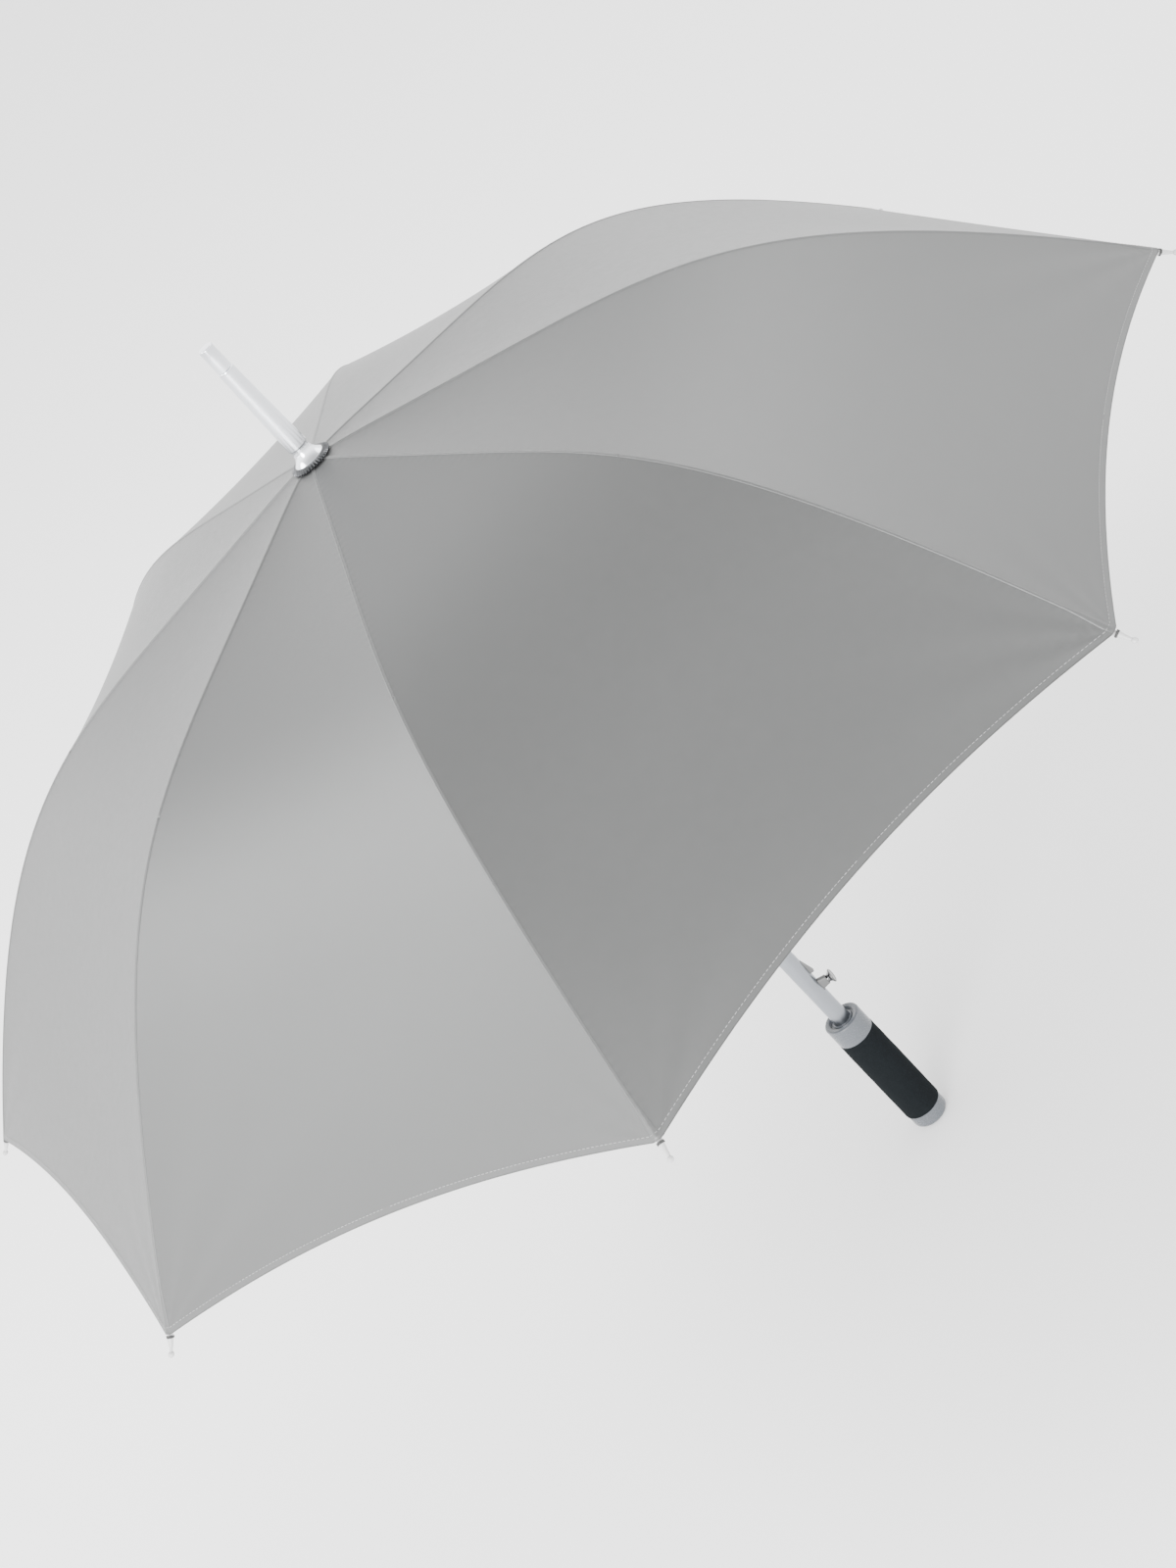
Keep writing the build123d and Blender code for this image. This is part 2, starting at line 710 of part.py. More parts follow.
def grip_collar():
    """Moulded collar with the core that the foam is slid on to."""
    low = grip_length - collar_height
    body = tube(collar_radius, sleeve_bore, low, grip_length)
    body = fillet(body.edges().group_by(Axis.Z)[-1].sort_by(SortBy.RADIUS)[-1], collar_round)
    recess_low = grip_length - collar_recess
    body -= tube(collar_recess_radius, sleeve_bore + collar_lip, recess_low, grip_length + past)
    body += tube(core_radius, sleeve_bore, end_cap_height, low + core_root)
    pin = pin_places()[2]
    return [body - pin * Cylinder(pin_radius + running, 4 * core_radius)]


def foam_grip():
    """Foam sleeve between the collar and the end cap, slightly proud of both."""
    low = end_cap_height + running
    high = grip_length - collar_height - running
    body = tube(foam_radius, core_radius + running, low, high)
    rims = body.edges().filter_by(GeomType.CIRCLE).sort_by(SortBy.RADIUS)[-2:]
    return [fillet(rims, foam_round)]


def end_cap():
    """Cap of the grip with a flat end and a spigot up into the tube."""
    body = Pos(0, 0, end_cap_height / 2) * Cylinder(end_cap_radius, end_cap_height)
    body = fillet(body.edges().group_by(Axis.Z)[0], end_cap_round)
    body += Pos(0, 0, end_cap_height + end_spigot / 2) * Cylinder(tube_inner - running, end_spigot)
    pin = pin_places()[2]
    return [body - pin * Cylinder(pin_radius + running, 4 * core_radius)]


# ---- Write every node ----

def write(name, solids):
    """One STEP file of one solid, or of a group of separate solids."""
    shape = solids[0] if len(solids) == 1 else Compound(children=solids)
    export_step(shape, f"parts/{name}.step")


def main():
    """Make every sub-part and write it."""
    os.makedirs("parts", exist_ok=True)
    single = {
        "shaft_tube": shaft_tube(),
        "shaft_pins": shaft_pins(),
        "ferrule": ferrule(),
        "ferrule_cap": ferrule_cap(),
        "serrated_washer": serrated_washer(),
        "crown": crown(),
        "crown_wire": pivot_wire(crown_z),
        "stop_ring": stop_ring(),
        "main_spring": main_spring(),
        "grip_collar": grip_collar(),
        "foam_grip": foam_grip(),
        "end_cap": end_cap(),
        "latch_spring": latch_spring(),
        "latch_bar": latch_bar(),
        "hold_down_catch": hold_down_catch(),
        "push_button": push_button(),
        "button_cap": button_cap(),
        "runner": runner(),
        "runner_wire": pivot_wire(runner_open_z),
        "spring_carrier": spring_carrier(),
    }
    for name, solids in single.items():
        write(name, solids)
    repeated = {
        "rib_inner": rib_inner(),
        "rib_outer": rib_outer(),
        "rib_tip": rib_tip(),
        "stretcher": stretcher(),
        "canopy_panel": canopy_panel(),
    }
    for name, solids in repeated.items():
        copies = [eight(solid) for solid in solids]
        for i in range(gore_count):
            write(f"{name}_{i + 1}", [copy[i][1] for copy in copies])


def print_places():
    """The places and angles that the joints and mounts use."""
    places = {
        "crown_pivot": crown_pivot,
        "joint_pivot": joint_pivot,
        "elbow_pivot": elbow_pivot,
        "runner_pivot": runner_pivot,
        "latch_pivot_z": latch_pivot_z,
        "fold_angle": fold_angle,
        "elbow_angle": elbow_angle,
        "latch_press": latch_press,
        "runner_closed_z": runner_closed_z,
        "canopy_top": canopy_top,
        "corner_z": corner_z,
        "ferrule_end": ferrule_end,
    }
    for name, value in places.items():
        print(name, value)


main()
print_places()
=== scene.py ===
import json
import math

import bmesh
import bpy
import numpy as np
from mathutils import Matrix, Vector


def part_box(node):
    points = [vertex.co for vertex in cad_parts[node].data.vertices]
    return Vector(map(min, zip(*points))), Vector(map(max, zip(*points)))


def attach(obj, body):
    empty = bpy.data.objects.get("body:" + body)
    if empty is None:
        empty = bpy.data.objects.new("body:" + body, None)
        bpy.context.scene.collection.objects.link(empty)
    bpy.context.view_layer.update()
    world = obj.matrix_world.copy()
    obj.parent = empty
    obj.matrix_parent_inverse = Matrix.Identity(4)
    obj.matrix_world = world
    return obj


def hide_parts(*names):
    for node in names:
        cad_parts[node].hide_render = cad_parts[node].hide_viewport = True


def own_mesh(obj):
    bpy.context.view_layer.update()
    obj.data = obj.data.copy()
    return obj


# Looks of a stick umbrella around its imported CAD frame. Metres, +Z along the shaft towards the ferrule.
# The cloth of each gore hangs from two ribs, so it is made as half gores: one strip each side of every
# rib, cut again at the rib's elbow, so that each strip rides on the rib that it is sewn to.

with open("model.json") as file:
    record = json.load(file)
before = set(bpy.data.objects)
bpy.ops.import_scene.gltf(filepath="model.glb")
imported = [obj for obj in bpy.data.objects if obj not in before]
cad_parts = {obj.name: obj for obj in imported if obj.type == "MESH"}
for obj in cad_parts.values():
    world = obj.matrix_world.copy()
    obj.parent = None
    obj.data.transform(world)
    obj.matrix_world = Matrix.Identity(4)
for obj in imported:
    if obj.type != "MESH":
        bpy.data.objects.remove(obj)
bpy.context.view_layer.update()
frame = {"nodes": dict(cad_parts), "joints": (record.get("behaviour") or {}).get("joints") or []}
nodes = frame["nodes"]
joint_place = {joint["name"]: Vector(joint["pos_m"]) for joint in frame["joints"]}


# ---- Camera ----

camera_place = Vector((0.5102, -2.0979, 1.4811))
camera_aim = Vector((-0.0155, -0.0039, 0.4067))
camera_roll = math.radians(-43.72)
camera_lens = 77.8


def set_camera():
    """A still camera that looks from its place to its aim, rolled about its own line of sight."""
    data = bpy.data.cameras.new("camera")
    data.lens = camera_lens
    camera = bpy.data.objects.new("camera", data)
    bpy.context.scene.collection.objects.link(camera)
    turn = (camera_aim - camera_place).to_track_quat("-Z", "Y").to_matrix().to_4x4()
    camera.matrix_world = Matrix.Translation(camera_place) @ turn @ Matrix.Rotation(camera_roll, 4, "Z")
    bpy.context.scene.camera = camera


set_camera()


# ---- Sizes ----

gore_count = 8
half_gore = math.pi / gore_count
canopy_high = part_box("canopy_panel_1")[1]
canopy_radius = canopy_high.x
canopy_top = canopy_high.z
canopy_rise = 0.260
canopy_flat = 0.01575
cloth_hole = 0.0078
# Bezier control points of a seam line: shares of the way out and of the rise
seam_out = (0.0, 0.129, 0.490, 0.537, 1.0)
seam_up = (1.0, 0.968, 0.764, 1.008, 0.0)
curve_points = 2001
# At the middle of a gore the hem dips by a share of the seam's length and the cloth sags by a share of the
# gore's width. The sag fades out over a last stretch of the seam.
hem_dip = 0.034
gore_sag = 0.019
sag_fade = (0.70, 1.0)
# Creases that run in to each corner: their depth as a share of the distance to it, how far they reach, and
# how many there are
crease_depth = 0.022
crease_reach = 0.045
crease_count = 6
cloth_thickness = 0.0003
hem_fold = 0.006
hem_lift = 0.00022
corner_blunt = 0.0015
corner_half = 0.0035
# Sewn seams, which spread near the corners
ridge_half = 0.0013
ridge_height = 0.00036
corner_reach = 0.035
corner_spread = 1.3
stitch_pitch = 0.0031
stitch_length = 0.0023
stitch_radius = 0.00017
stitch_inset = 0.0044
# Tips of the ribs, which lie a depth below the seam's end: a shank from a neck to a waist, and a ball
tip_depth = 0.0038
tip_neck = 0.0023
tip_waist = 0.00115
tip_lift = 0.0016
tip_reach = 0.0115
tip_ball = 0.0021
tip_bend = 0.10
tie_turns = 3.5
tie_thread = 0.00022
tie_pitch = 2.1 * tie_thread


# ---- Seam line ----

def bezier(shares, t):
    """Value at t of the curve whose control values are the shares."""
    n = len(shares) - 1
    return sum(math.comb(n, i) * (1 - t) ** (n - i) * t**i * share for i, share in enumerate(shares))


curve_steps = np.linspace(0.0, 1.0, curve_points)
curve_radius = canopy_flat + (canopy_radius - canopy_flat) * bezier(seam_out, curve_steps)
curve_height = canopy_top - canopy_rise + canopy_rise * bezier(seam_up, curve_steps)
curve_run = np.concatenate(([0.0], np.cumsum(np.hypot(np.diff(curve_radius), np.diff(curve_height)))))
seam_length = curve_run[-1]


def seam(run):
    """Radius and height of the seam line at a distance along it from the edge of the flat top: inside the
    top it is level, and past the corner it goes straight on."""
    inside = np.minimum(run, 0.0)
    beyond = np.maximum(run - seam_length, 0.0)
    end_radius, end_height = curve_radius[-1] - curve_radius[-2], curve_height[-1] - curve_height[-2]
    end = math.hypot(end_radius, end_height)
    radius = np.interp(run, curve_run, curve_radius) + inside + beyond * end_radius / end
    height = np.interp(run, curve_run, curve_height) + beyond * end_height / end
    return radius, height


def seam_slope(run):
    """Unit direction of the seam line, as (outwards, upwards), from a small step each side."""
    step = 0.0008
    radius_a, height_a = seam(run - step)
    radius_b, height_b = seam(run + step)
    size = np.hypot(radius_b - radius_a, height_b - height_a)
    return (radius_b - radius_a) / size, (height_b - height_a) / size


def smooth(low, high, value):
    """0 below low, 1 above high, and 3x^2 - 2x^3 between them."""
    share = np.clip((value - low) / (high - low), 0.0, 1.0)
    return share * share * (3 - 2 * share)


# ---- Cloth surface ----

def cloth_point(run, across, side, lift=0.0):
    """A point of the cloth beside the rib that lies in the XZ plane. run is the distance along the seam line
    and across the share of the way from that seam to the middle of the gore, on the side +1 or -1 in Y.
    From the seam line the cloth goes straight across the gore, and sags inwards by a parabola. The creases
    at a corner are a squared sine of the angle about it, and fade with an exponential."""
    radius, height = seam(run)
    out, up = seam_slope(run)
    width = across * radius * math.sin(half_gore)
    normal = np.stack((-up * math.cos(half_gore) + 0 * width,
                       -up * math.sin(half_gore) * side + 0 * width,
                       out * math.cos(half_gore) + 0 * width), axis=-1)
    normal /= np.linalg.norm(normal, axis=-1, keepdims=True)
    fade = 1 - smooth(*sag_fade, run / seam_length)
    sag = gore_sag * 2 * radius * math.sin(half_gore) * (1 - (1 - across) ** 2) * fade
    from_corner = seam_length - run
    tiny = 1e-6
    reach = np.hypot(width, from_corner) + tiny
    turn = np.arctan2(width, np.maximum(from_corner, 0.0) + tiny)
    pull = crease_depth * reach * np.exp(-reach / crease_reach) * np.sin(crease_count * turn) ** 2
    base = np.stack((radius - width * math.sin(half_gore), side * width * math.cos(half_gore),
                     height + 0 * width), axis=-1)
    return base + normal * (lift - sag - pull)[..., None]


def cloth_normal(run, across, side):
    """Outward unit normal of the cloth, from small steps along and across it."""
    step = 0.0006
    share = 0.004
    along = cloth_point(run + step, across, side) - cloth_point(run - step, across, side)
    over = cloth_point(run, across + share, side) - cloth_point(run, across - share, side)
    normal = np.cross(along, over) * side
    return normal / np.linalg.norm(normal, axis=-1, keepdims=True)


def hem_run(across):
    """Where the hem crosses: the corner's distance less a parabola's dip, and a short blunt corner."""
    width = across * canopy_radius * math.sin(half_gore)
    blunt = corner_blunt * np.clip(1 - width / corner_half, 0.0, 1.0)
    return seam_length * (1 - hem_dip * (1 - (1 - across) ** 2)) - blunt


# ---- Meshes ----

def turned_to(points, angle):
    """Points turned about Z by an angle."""
    c, s = math.cos(angle), math.sin(angle)
    return points @ np.array(((c, s, 0.0), (-s, c, 0.0), (0.0, 0.0, 1.0)))


def grid_faces(rows, columns, first=0, wrap=False):
    """Quads of a grid of rows x columns points, whose columns may close on themselves."""
    index = first + np.arange(rows * columns).reshape(rows, columns)
    nxt = np.roll(index, -1, axis=1) if wrap else index[:, 1:]
    cur = index if wrap else index[:, :-1]
    return np.stack((cur[:-1], nxt[:-1], nxt[1:], cur[1:]), axis=-1).reshape(-1, 4)


def piece(name, points, faces, material, body, uvs=(), normals=None, slots=None):
    """A smooth mesh piece that rides on a body. uvs are (name, values at the points), normals are the normals
    at each face's corners, and slots the number of each face's material."""
    mesh = bpy.data.meshes.new(name)
    faces = np.asarray(faces)
    mesh.vertices.add(len(points))
    mesh.vertices.foreach_set("co", np.ascontiguousarray(points, np.float32).ravel())
    mesh.loops.add(faces.size)
    mesh.loops.foreach_set("vertex_index", faces.astype(np.int32).ravel())
    mesh.polygons.add(len(faces))
    mesh.polygons.foreach_set("loop_start", np.arange(0, faces.size, faces.shape[1], dtype=np.int32))
    mesh.polygons.foreach_set("use_smooth", np.ones(len(faces), bool))
    mesh.update(calc_edges=True)
    mesh.validate()
    for uv_name, values in uvs:
        layer = mesh.uv_layers.new(name=uv_name)
        layer.uv.foreach_set("vector", np.ascontiguousarray(values[faces.ravel()], np.float32).ravel())
    for one in material if isinstance(material, (list, tuple)) else (material,):
        mesh.materials.append(one)
    if slots is not None:
        mesh.polygons.foreach_set("material_index", slots.astype(np.int32))
    if normals is not None:
        mesh.normals_split_custom_set(normals.reshape(-1, 3))
    made = bpy.data.objects.new(name, mesh)
    bpy.context.scene.collection.objects.link(made)
    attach(made, body)
    return made


weld_distance = 1e-7
arc_points = 7


def welded(made):
    """Points that coincide are joined, so that poles and seams close, and all faces are turned outwards."""
    work = bmesh.new()
    work.from_mesh(made.data)
    bmesh.ops.remove_doubles(work, verts=work.verts, dist=weld_distance)
    bmesh.ops.recalc_face_normals(work, faces=work.faces)
    work.to_mesh(made.data)
    work.free()
    return made


def rounded(corners):
    """An outline whose corners (x, z, radius) are replaced by arcs of their radius, as an array of points."""
    points = []
    for i, (x, z, radius) in enumerate(corners):
        here = np.array((x, z))
        if radius == 0.0:
            points.append(here)
            continue
        before = np.array(corners[i - 1][:2]) - here
        after = np.array(corners[(i + 1) % len(corners)][:2]) - here
        before /= np.linalg.norm(before)
        after /= np.linalg.norm(after)
        half = math.acos(float(before @ after)) / 2
        middle = (before + after) / np.linalg.norm(before + after)
        centre = here + middle * radius / math.sin(half)
        start = here + before * radius / math.tan(half) - centre
        end = here + after * radius / math.tan(half) - centre
        share = np.linspace(0.0, 1.0, arc_points)[:, None]
        sweep = math.pi - 2 * half
        arc = (np.sin((1 - share) * sweep) * start + np.sin(share * sweep) * end) / math.sin(sweep)
        points.extend(centre + arc)
    return np.array(points)


def full_turn(sides):
    """Angles once round, in a row."""
    return np.linspace(0.0, 2 * math.pi, sides, endpoint=False)[None, :]


def superellipse(turn, power, half_wide, half_high):
    """Rings (sideways, upwards) of a superellipse at the angles of a turn, where |x|^power + |y|^power is 1
    before the ring takes its half width and half height. Each ring has its own sizes."""
    c, s = np.cos(turn), np.sin(turn)
    size = (np.abs(c) ** power + np.abs(s) ** power) ** (-1 / power)
    return np.stack((size * c * half_wide[:, None], size * s * half_high[:, None]), axis=-1)


def lathe(name, outline, material, body, sides=96, shape=None):
    """The outline (radius, height) turned about Z. It starts and ends on the axis. shape may change the
    radius and height of every point, given its angle."""
    angle = full_turn(sides)
    radius = outline[:, :1] + 0 * angle
    height = outline[:, 1:] + 0 * angle
    if shape:
        radius, height = shape(radius, height, angle)
    points = np.stack((radius * np.cos(angle), radius * np.sin(angle), height), axis=-1).reshape(-1, 3)
    return welded(piece(name, points, grid_faces(*radius.shape, wrap=True), material, body))


def carried(path, side, up, profile):
    """A closed profile (sideways, upwards) carried along a path, with each ring's own size: path, side and up
    are (rings, 3) and profile is (rings, points, 2). Both ends are closed on their middle."""
    rings = path[:, None, :] + profile[..., :1] * side[:, None, :] + profile[..., 1:] * up[:, None, :]
    middles = rings.mean(axis=1, keepdims=True) + 0 * rings
    return np.concatenate((middles[:1], rings, middles[-1:]))


def rib_angle(rib):
    """The angle about Z from the first rib to another."""
    return 2 * half_gore * (rib - 1)


def placed(points, rib):
    """Points drawn at the first rib, turned to another rib."""
    return turned_to(points.reshape(-1, 3), rib_angle(rib))


def hand(side):
    """The name of the side +1 or -1 of a rib."""
    return "left" if side > 0 else "right"


# ---- Materials ----

class Wire:
    """One output of a node. Arithmetic with wires or numbers adds Math nodes."""

    def __init__(self, finish, socket):
        self.finish = finish
        self.socket = socket

    def math(self, operation, *others):
        return self.finish.add("ShaderNodeMath", {"operation": operation}, dict(enumerate((self, *others))))

    def __add__(self, other):
        return self.math("ADD", other)

    def __sub__(self, other):
        return self.math("SUBTRACT", other)

    def __rsub__(self, other):
        return self.finish.add("ShaderNodeMath", {"operation": "SUBTRACT"}, {0: other, 1: self})

    def __mul__(self, other):
        return self.math("MULTIPLY", other)

    __radd__ = __add__
    __rmul__ = __mul__


class Wiring:
    """A node tree that is added to one node at a time."""

    def __init__(self, tree, last):
        self.tree = tree
        self.last = tree.nodes[last]

    def add(self, kind, settings=None, sockets=None, output=0):
        """A node of a kind with its settings, then the values or wires of its sockets."""
        node = self.tree.nodes.new(kind)
        for setting, value in (settings or {}).items():
            setattr(node, setting, value)
        for socket, value in (sockets or {}).items():
            if isinstance(value, Wire):
                self.tree.links.new(value.socket, node.inputs[socket])
            else:
                node.inputs[socket].default_value = value
        return Wire(self, node.outputs[output])

    def place(self):
        """Object coordinates, in metres."""
        return self.add("ShaderNodeTexCoord", output="Object")

    def uv(self, name):
        """The two numbers of a UV map."""
        where = self.add("ShaderNodeUVMap", {"uv_map": name})
        x = self.add("ShaderNodeSeparateXYZ", sockets={0: where}, output=0)
        y = self.add("ShaderNodeSeparateXYZ", sockets={0: where}, output=1)
        return x, y

    def noise(self, where, size, detail=3.0, rough=0.5):
        """Smooth noise from 0 to 1 whose patches are about this size in metres."""
        return self.add("ShaderNodeTexNoise", None,
                        {"Vector": where, "Scale": 1.0 / size, "Detail": detail, "Roughness": rough})

    def stretched(self, where, scale):
        """Coordinates scaled along each axis."""
        return self.add("ShaderNodeMapping", None, {"Vector": where, "Scale": scale})

    def mix(self, share, a, b):
        """Colour between a and b."""
        return self.add("ShaderNodeMix", {"data_type": "RGBA"}, {0: share, 6: a, 7: b}, output=2)

    def ramp(self, value, low, high):
        """0 below low and 1 above high, smooth between them."""
        return self.add("ShaderNodeMapRange", {"interpolation_type": "SMOOTHSTEP"},
                        {"Value": value, "From Min": low, "From Max": high})

    def feed(self, socket, wire):
        """The last node's socket takes a wire."""
        self.tree.links.new(wire.socket, self.last.inputs[socket])


class Finish(Wiring):
    """A material on one shader. The constants are values of the shader's own sockets."""

    def __init__(self, name, **constants):
        self.material = bpy.data.materials.new(name)
        self.material.use_nodes = True
        super().__init__(self.material.node_tree, "Principled BSDF")
        for socket, value in constants.items():
            title = socket.replace("_", " ").title().replace("Ior", "IOR")
            self.last.inputs[title].default_value = value

    def bump(self, height, distance, strength=1.0):
        """Relief of a height from 0 to 1, this deep in metres."""
        self.feed("Normal", self.add("ShaderNodeBump", None,
                                     {"Strength": strength, "Distance": distance, "Height": height}))


def grey(value, tint=(1.0, 1.0, 1.0)):
    """A grey of a brightness, times a tint, as a colour."""
    return (value * tint[0], value * tint[1], value * tint[2], 1.0)


cloth_tint = (0.985, 1.0, 0.995)
thread_pitch = 0.00042
cloud_size = 0.14
mottle_size = 0.006
pucker_pitch = 0.0065
pucker_reach = (0.001, 0.010)
# Width of the painted shade that darkens the cloth along the hem's edge
hem_painted_shade_width = 0.0012
doubled_edge = (0.0042, 0.0050)
cloth_relief = 0.00022


def cloth_finish(name, shade, metal, rough):
    """Coated plain-weave cloth: crossed threads, puckers along the seams, soft changes of tone, and a paler
    doubled hem whose edge is darkened by painted shade."""
    finish = Finish(name, metallic=metal)
    x, y = finish.uv("weave")
    to_seam, to_hem = finish.uv("edges")
    turn = 2 * math.pi / thread_pitch
    weave = (x * turn).math("SINE") * (y * turn).math("SINE") * 0.5 + 0.5
    place = finish.place()
    cloud = finish.noise(place, cloud_size, 2.0)
    fine = finish.noise(place, mottle_size, 4.0)
    near = 1 - finish.ramp(to_seam, *pucker_reach)
    pucker = (y * (2 * math.pi / pucker_pitch)).math("SINE") * near
    # Painted shade: the cloth is darkened along the hem's edge
    edge = 1 - finish.ramp(to_hem, 0.0, hem_painted_shade_width)
    doubled = 1 - finish.ramp(to_hem, *doubled_edge)
    tone = cloud * 0.06 + fine * 0.05 + weave * 0.06 + doubled * 0.10 - edge * 0.55
    dark, pale = grey(shade * 0.62, cloth_tint), grey(shade * 1.38, cloth_tint)
    finish.feed("Base Color", finish.mix(tone + 0.42, dark, pale))
    finish.feed("Roughness", fine * 0.10 + weave * 0.05 + (rough - 0.07))
    finish.bump(weave * 0.25 + pucker * 0.35 + fine * 0.3, cloth_relief, 0.5)
    return finish.material


cloth_outside = cloth_finish("silver_cloth_outside", 0.106, 0.6, 0.42)
cloth_inside = cloth_finish("silver_cloth_inside", 0.088, 0.15, 0.62)

metal_tint = (0.96, 0.985, 1.03)
# Tint of painted shade on metal
crimp_shade_tint = (0.9, 0.95, 1.15)
scuff_size = 0.004
metal_relief = 0.00004


def metal_finish(name, shade, rough, tint=metal_tint, brush=(900.0, 900.0, 40.0), paint_shade=None):
    """Drawn metal: fine streaks along Z, a little uneven gloss and small scuffs. A metal given painted shade
    is painted dark where its place says."""
    finish = Finish(name, metallic=1.0)
    place = finish.place()
    streak = finish.noise(finish.stretched(place, brush), 1.0, 3.0)
    scuff = finish.ramp(finish.noise(place, scuff_size, 5.0, 0.7), 0.58, 0.72)
    colour = finish.mix(streak * 0.5 + scuff * 0.3, grey(shade, tint), grey(shade * 0.80, tint))
    if paint_shade:
        # Painted shade: nearly black where the mask says, standing in for shade in a recess
        colour = finish.mix(paint_shade(finish, place), colour, grey(shade * 0.12, crimp_shade_tint))
    finish.feed("Base Color", colour)
    finish.feed("Roughness", streak * 0.10 + scuff * 0.15 + (rough - 0.05))
    finish.bump(streak * 0.4 + scuff * 0.2, metal_relief, 0.35)
    return finish.material


# The ferrule's crimp: the angle that it looks in, its height, and how far it lies to the side. Its painted
# shade is full up to the first and gone at the second of each pair of distances from its middle.
crimp_angle = math.radians(8.0)
crimp_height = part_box("ferrule")[0].z + 0.0172
crimp_outside = 0.0076
crimp_side = crimp_outside * math.sin(crimp_angle)
crimp_shade_tall = (0.0014, 0.0021)
crimp_shade_wide = (0.0011, 0.0017)
crimp_shade_depth = 0.001


def crimp_painted_shade(finish, place):
    """Painted shade inside the ferrule's recessed crimp: a box with soft sides."""
    x, y, z = (finish.add("ShaderNodeSeparateXYZ", None, {0: place}, i) for i in range(3))
    tall = 1 - finish.ramp((z - crimp_height).math("ABSOLUTE"), *crimp_shade_tall)
    wide = 1 - finish.ramp((y - crimp_side).math("ABSOLUTE"), *crimp_shade_wide)
    return tall * wide * finish.ramp(x, 0.0, crimp_shade_depth)


def plastic_finish(name, shade, rough, tint=(1.0, 1.0, 1.0), grain=0.0006, depth=0.00003):
    """Moulded plastic: a fine spark-eroded grain with faint flow marks."""
    finish = Finish(name, specular_ior_level=0.45)
    place = finish.place()
    fine = finish.noise(place, grain, 4.0, 0.6)
    flow = finish.noise(finish.stretched(place, (60.0, 60.0, 12.0)), 1.0, 2.0)
    worn = grey(shade * 0.84, tint)
    finish.feed("Base Color", finish.mix(fine * 0.3 + flow * 0.5, grey(shade, tint), worn))
    finish.feed("Roughness", fine * 0.14 + flow * 0.08 + (rough - 0.1))
    finish.bump(fine, depth, 0.5)
    return finish.material


foam_tint = (0.82, 1.0, 1.13)
cells_per_metre = 1300.0
cell_depth = 0.00012


def foam_finish():
    """Dense closed-cell foam: fine open pores between soft bumps."""
    finish = Finish("grip_foam_skin", specular_ior_level=0.03)
    place = finish.place()
    cells = finish.add("ShaderNodeTexVoronoi", None, {"Vector": place, "Scale": cells_per_metre})
    soft = finish.noise(place, 0.003, 4.0)
    colour = finish.mix(cells * 0.6 + soft * 0.4, grey(0.004, foam_tint), grey(0.012, foam_tint))
    finish.feed("Base Color", colour)
    finish.feed("Roughness", soft * 0.15 + 0.72)
    finish.bump(cells * 0.7 + soft * 0.5, cell_depth, 0.6)
    return finish.material


ply_size = 0.0004
ply_relief = 0.00005


def thread_finish(name, shade, rough):
    """Twisted sewing thread: slanting plies along its length."""
    finish = Finish(name, specular_ior_level=0.3)
    place = finish.place()
    ply = (finish.noise(place, ply_size, 2.0) * 12.0).math("SINE") * 0.5 + 0.5
    finish.feed("Base Color", finish.mix(ply, grey(shade * 0.75), grey(shade * 1.15)))
    finish.feed("Roughness", ply * 0.1 + rough)
    finish.bump(ply, ply_relief, 0.5)
    return finish.material


pale_thread = thread_finish("hem_thread", 0.34, 0.55)
dark_thread = thread_finish("corner_thread", 0.06, 0.6)
shaft_metal = metal_finish("satin_anodised_tube", 0.34, 0.30, (0.92, 0.97, 1.05))
# The ferrule's crimp is given painted shade
bright_metal = metal_finish("ferrule_metal", 0.74, 0.16, paint_shade=crimp_painted_shade)
washer_metal = metal_finish("toothed_washer_metal", 0.09, 0.22, brush=(300.0, 300.0, 300.0))
rib_metal = metal_finish("fluted_rib_steel", 0.27, 0.36, brush=(200.0, 200.0, 200.0))
wire_metal = metal_finish("wire_steel", 0.34, 0.28, brush=(400.0, 400.0, 400.0))
chrome = metal_finish("button_chrome_plate", 0.15, 0.05, (1.0, 1.0, 1.0), (500.0, 500.0, 500.0))
grip_plastic = plastic_finish("grip_silver_plastic", 0.10, 0.26, (0.90, 0.98, 1.10))
pale_plastic = plastic_finish("tip_pearl_plastic", 0.50, 0.32)
grey_plastic = plastic_finish("button_grey_plastic", 0.105, 0.38)
notch_plastic = plastic_finish("notch_dark_plastic", 0.05, 0.40)
foam_skin = foam_finish()


# ---- Canopy ----

elbow_radius = joint_place["elbow_1"].x
elbow_run = np.interp(elbow_radius, curve_radius, curve_run)
# Ends of each strip's straight line, as radius and height, from its inner end to its outer end
chord = {
    "inner": (tuple(map(float, seam(np.array(0.0)))), tuple(map(float, seam(np.array(elbow_run))))),
    "outer": (tuple(map(float, seam(np.array(elbow_run)))), tuple(map(float, seam(np.array(seam_length))))),
}
# Shares of the way across a strip, closer beside the seam, and rows along it. The fold's rows are distances
# from the hem, as shares of the fold.
strip_across = np.linspace(0.0, 1.0, 33) ** 1.4
inner_rows = 48
outer_rows = 55
fold_rows = (1.5, 1.35, 1.2, 1.1, 1.0, 0.9, 0.6, 0.3, 0.1, 0.0)


def cloth_rows(part, across):
    """Distances along the seam line of a strip's rows, with close rows in the fold of the hem."""
    if part == "inner":
        return np.linspace(cloth_hole - canopy_flat, elbow_run, inner_rows)[:, None] + 0 * across[None, :]
    hem = hem_run(across)[None, :]
    inside = hem_fold * np.array(fold_rows)[:, None]
    share = np.linspace(0.0, 1.0, outer_rows + 1)[:-1, None]
    return np.concatenate((elbow_run + (hem - inside[0] - elbow_run) * share, hem - inside))


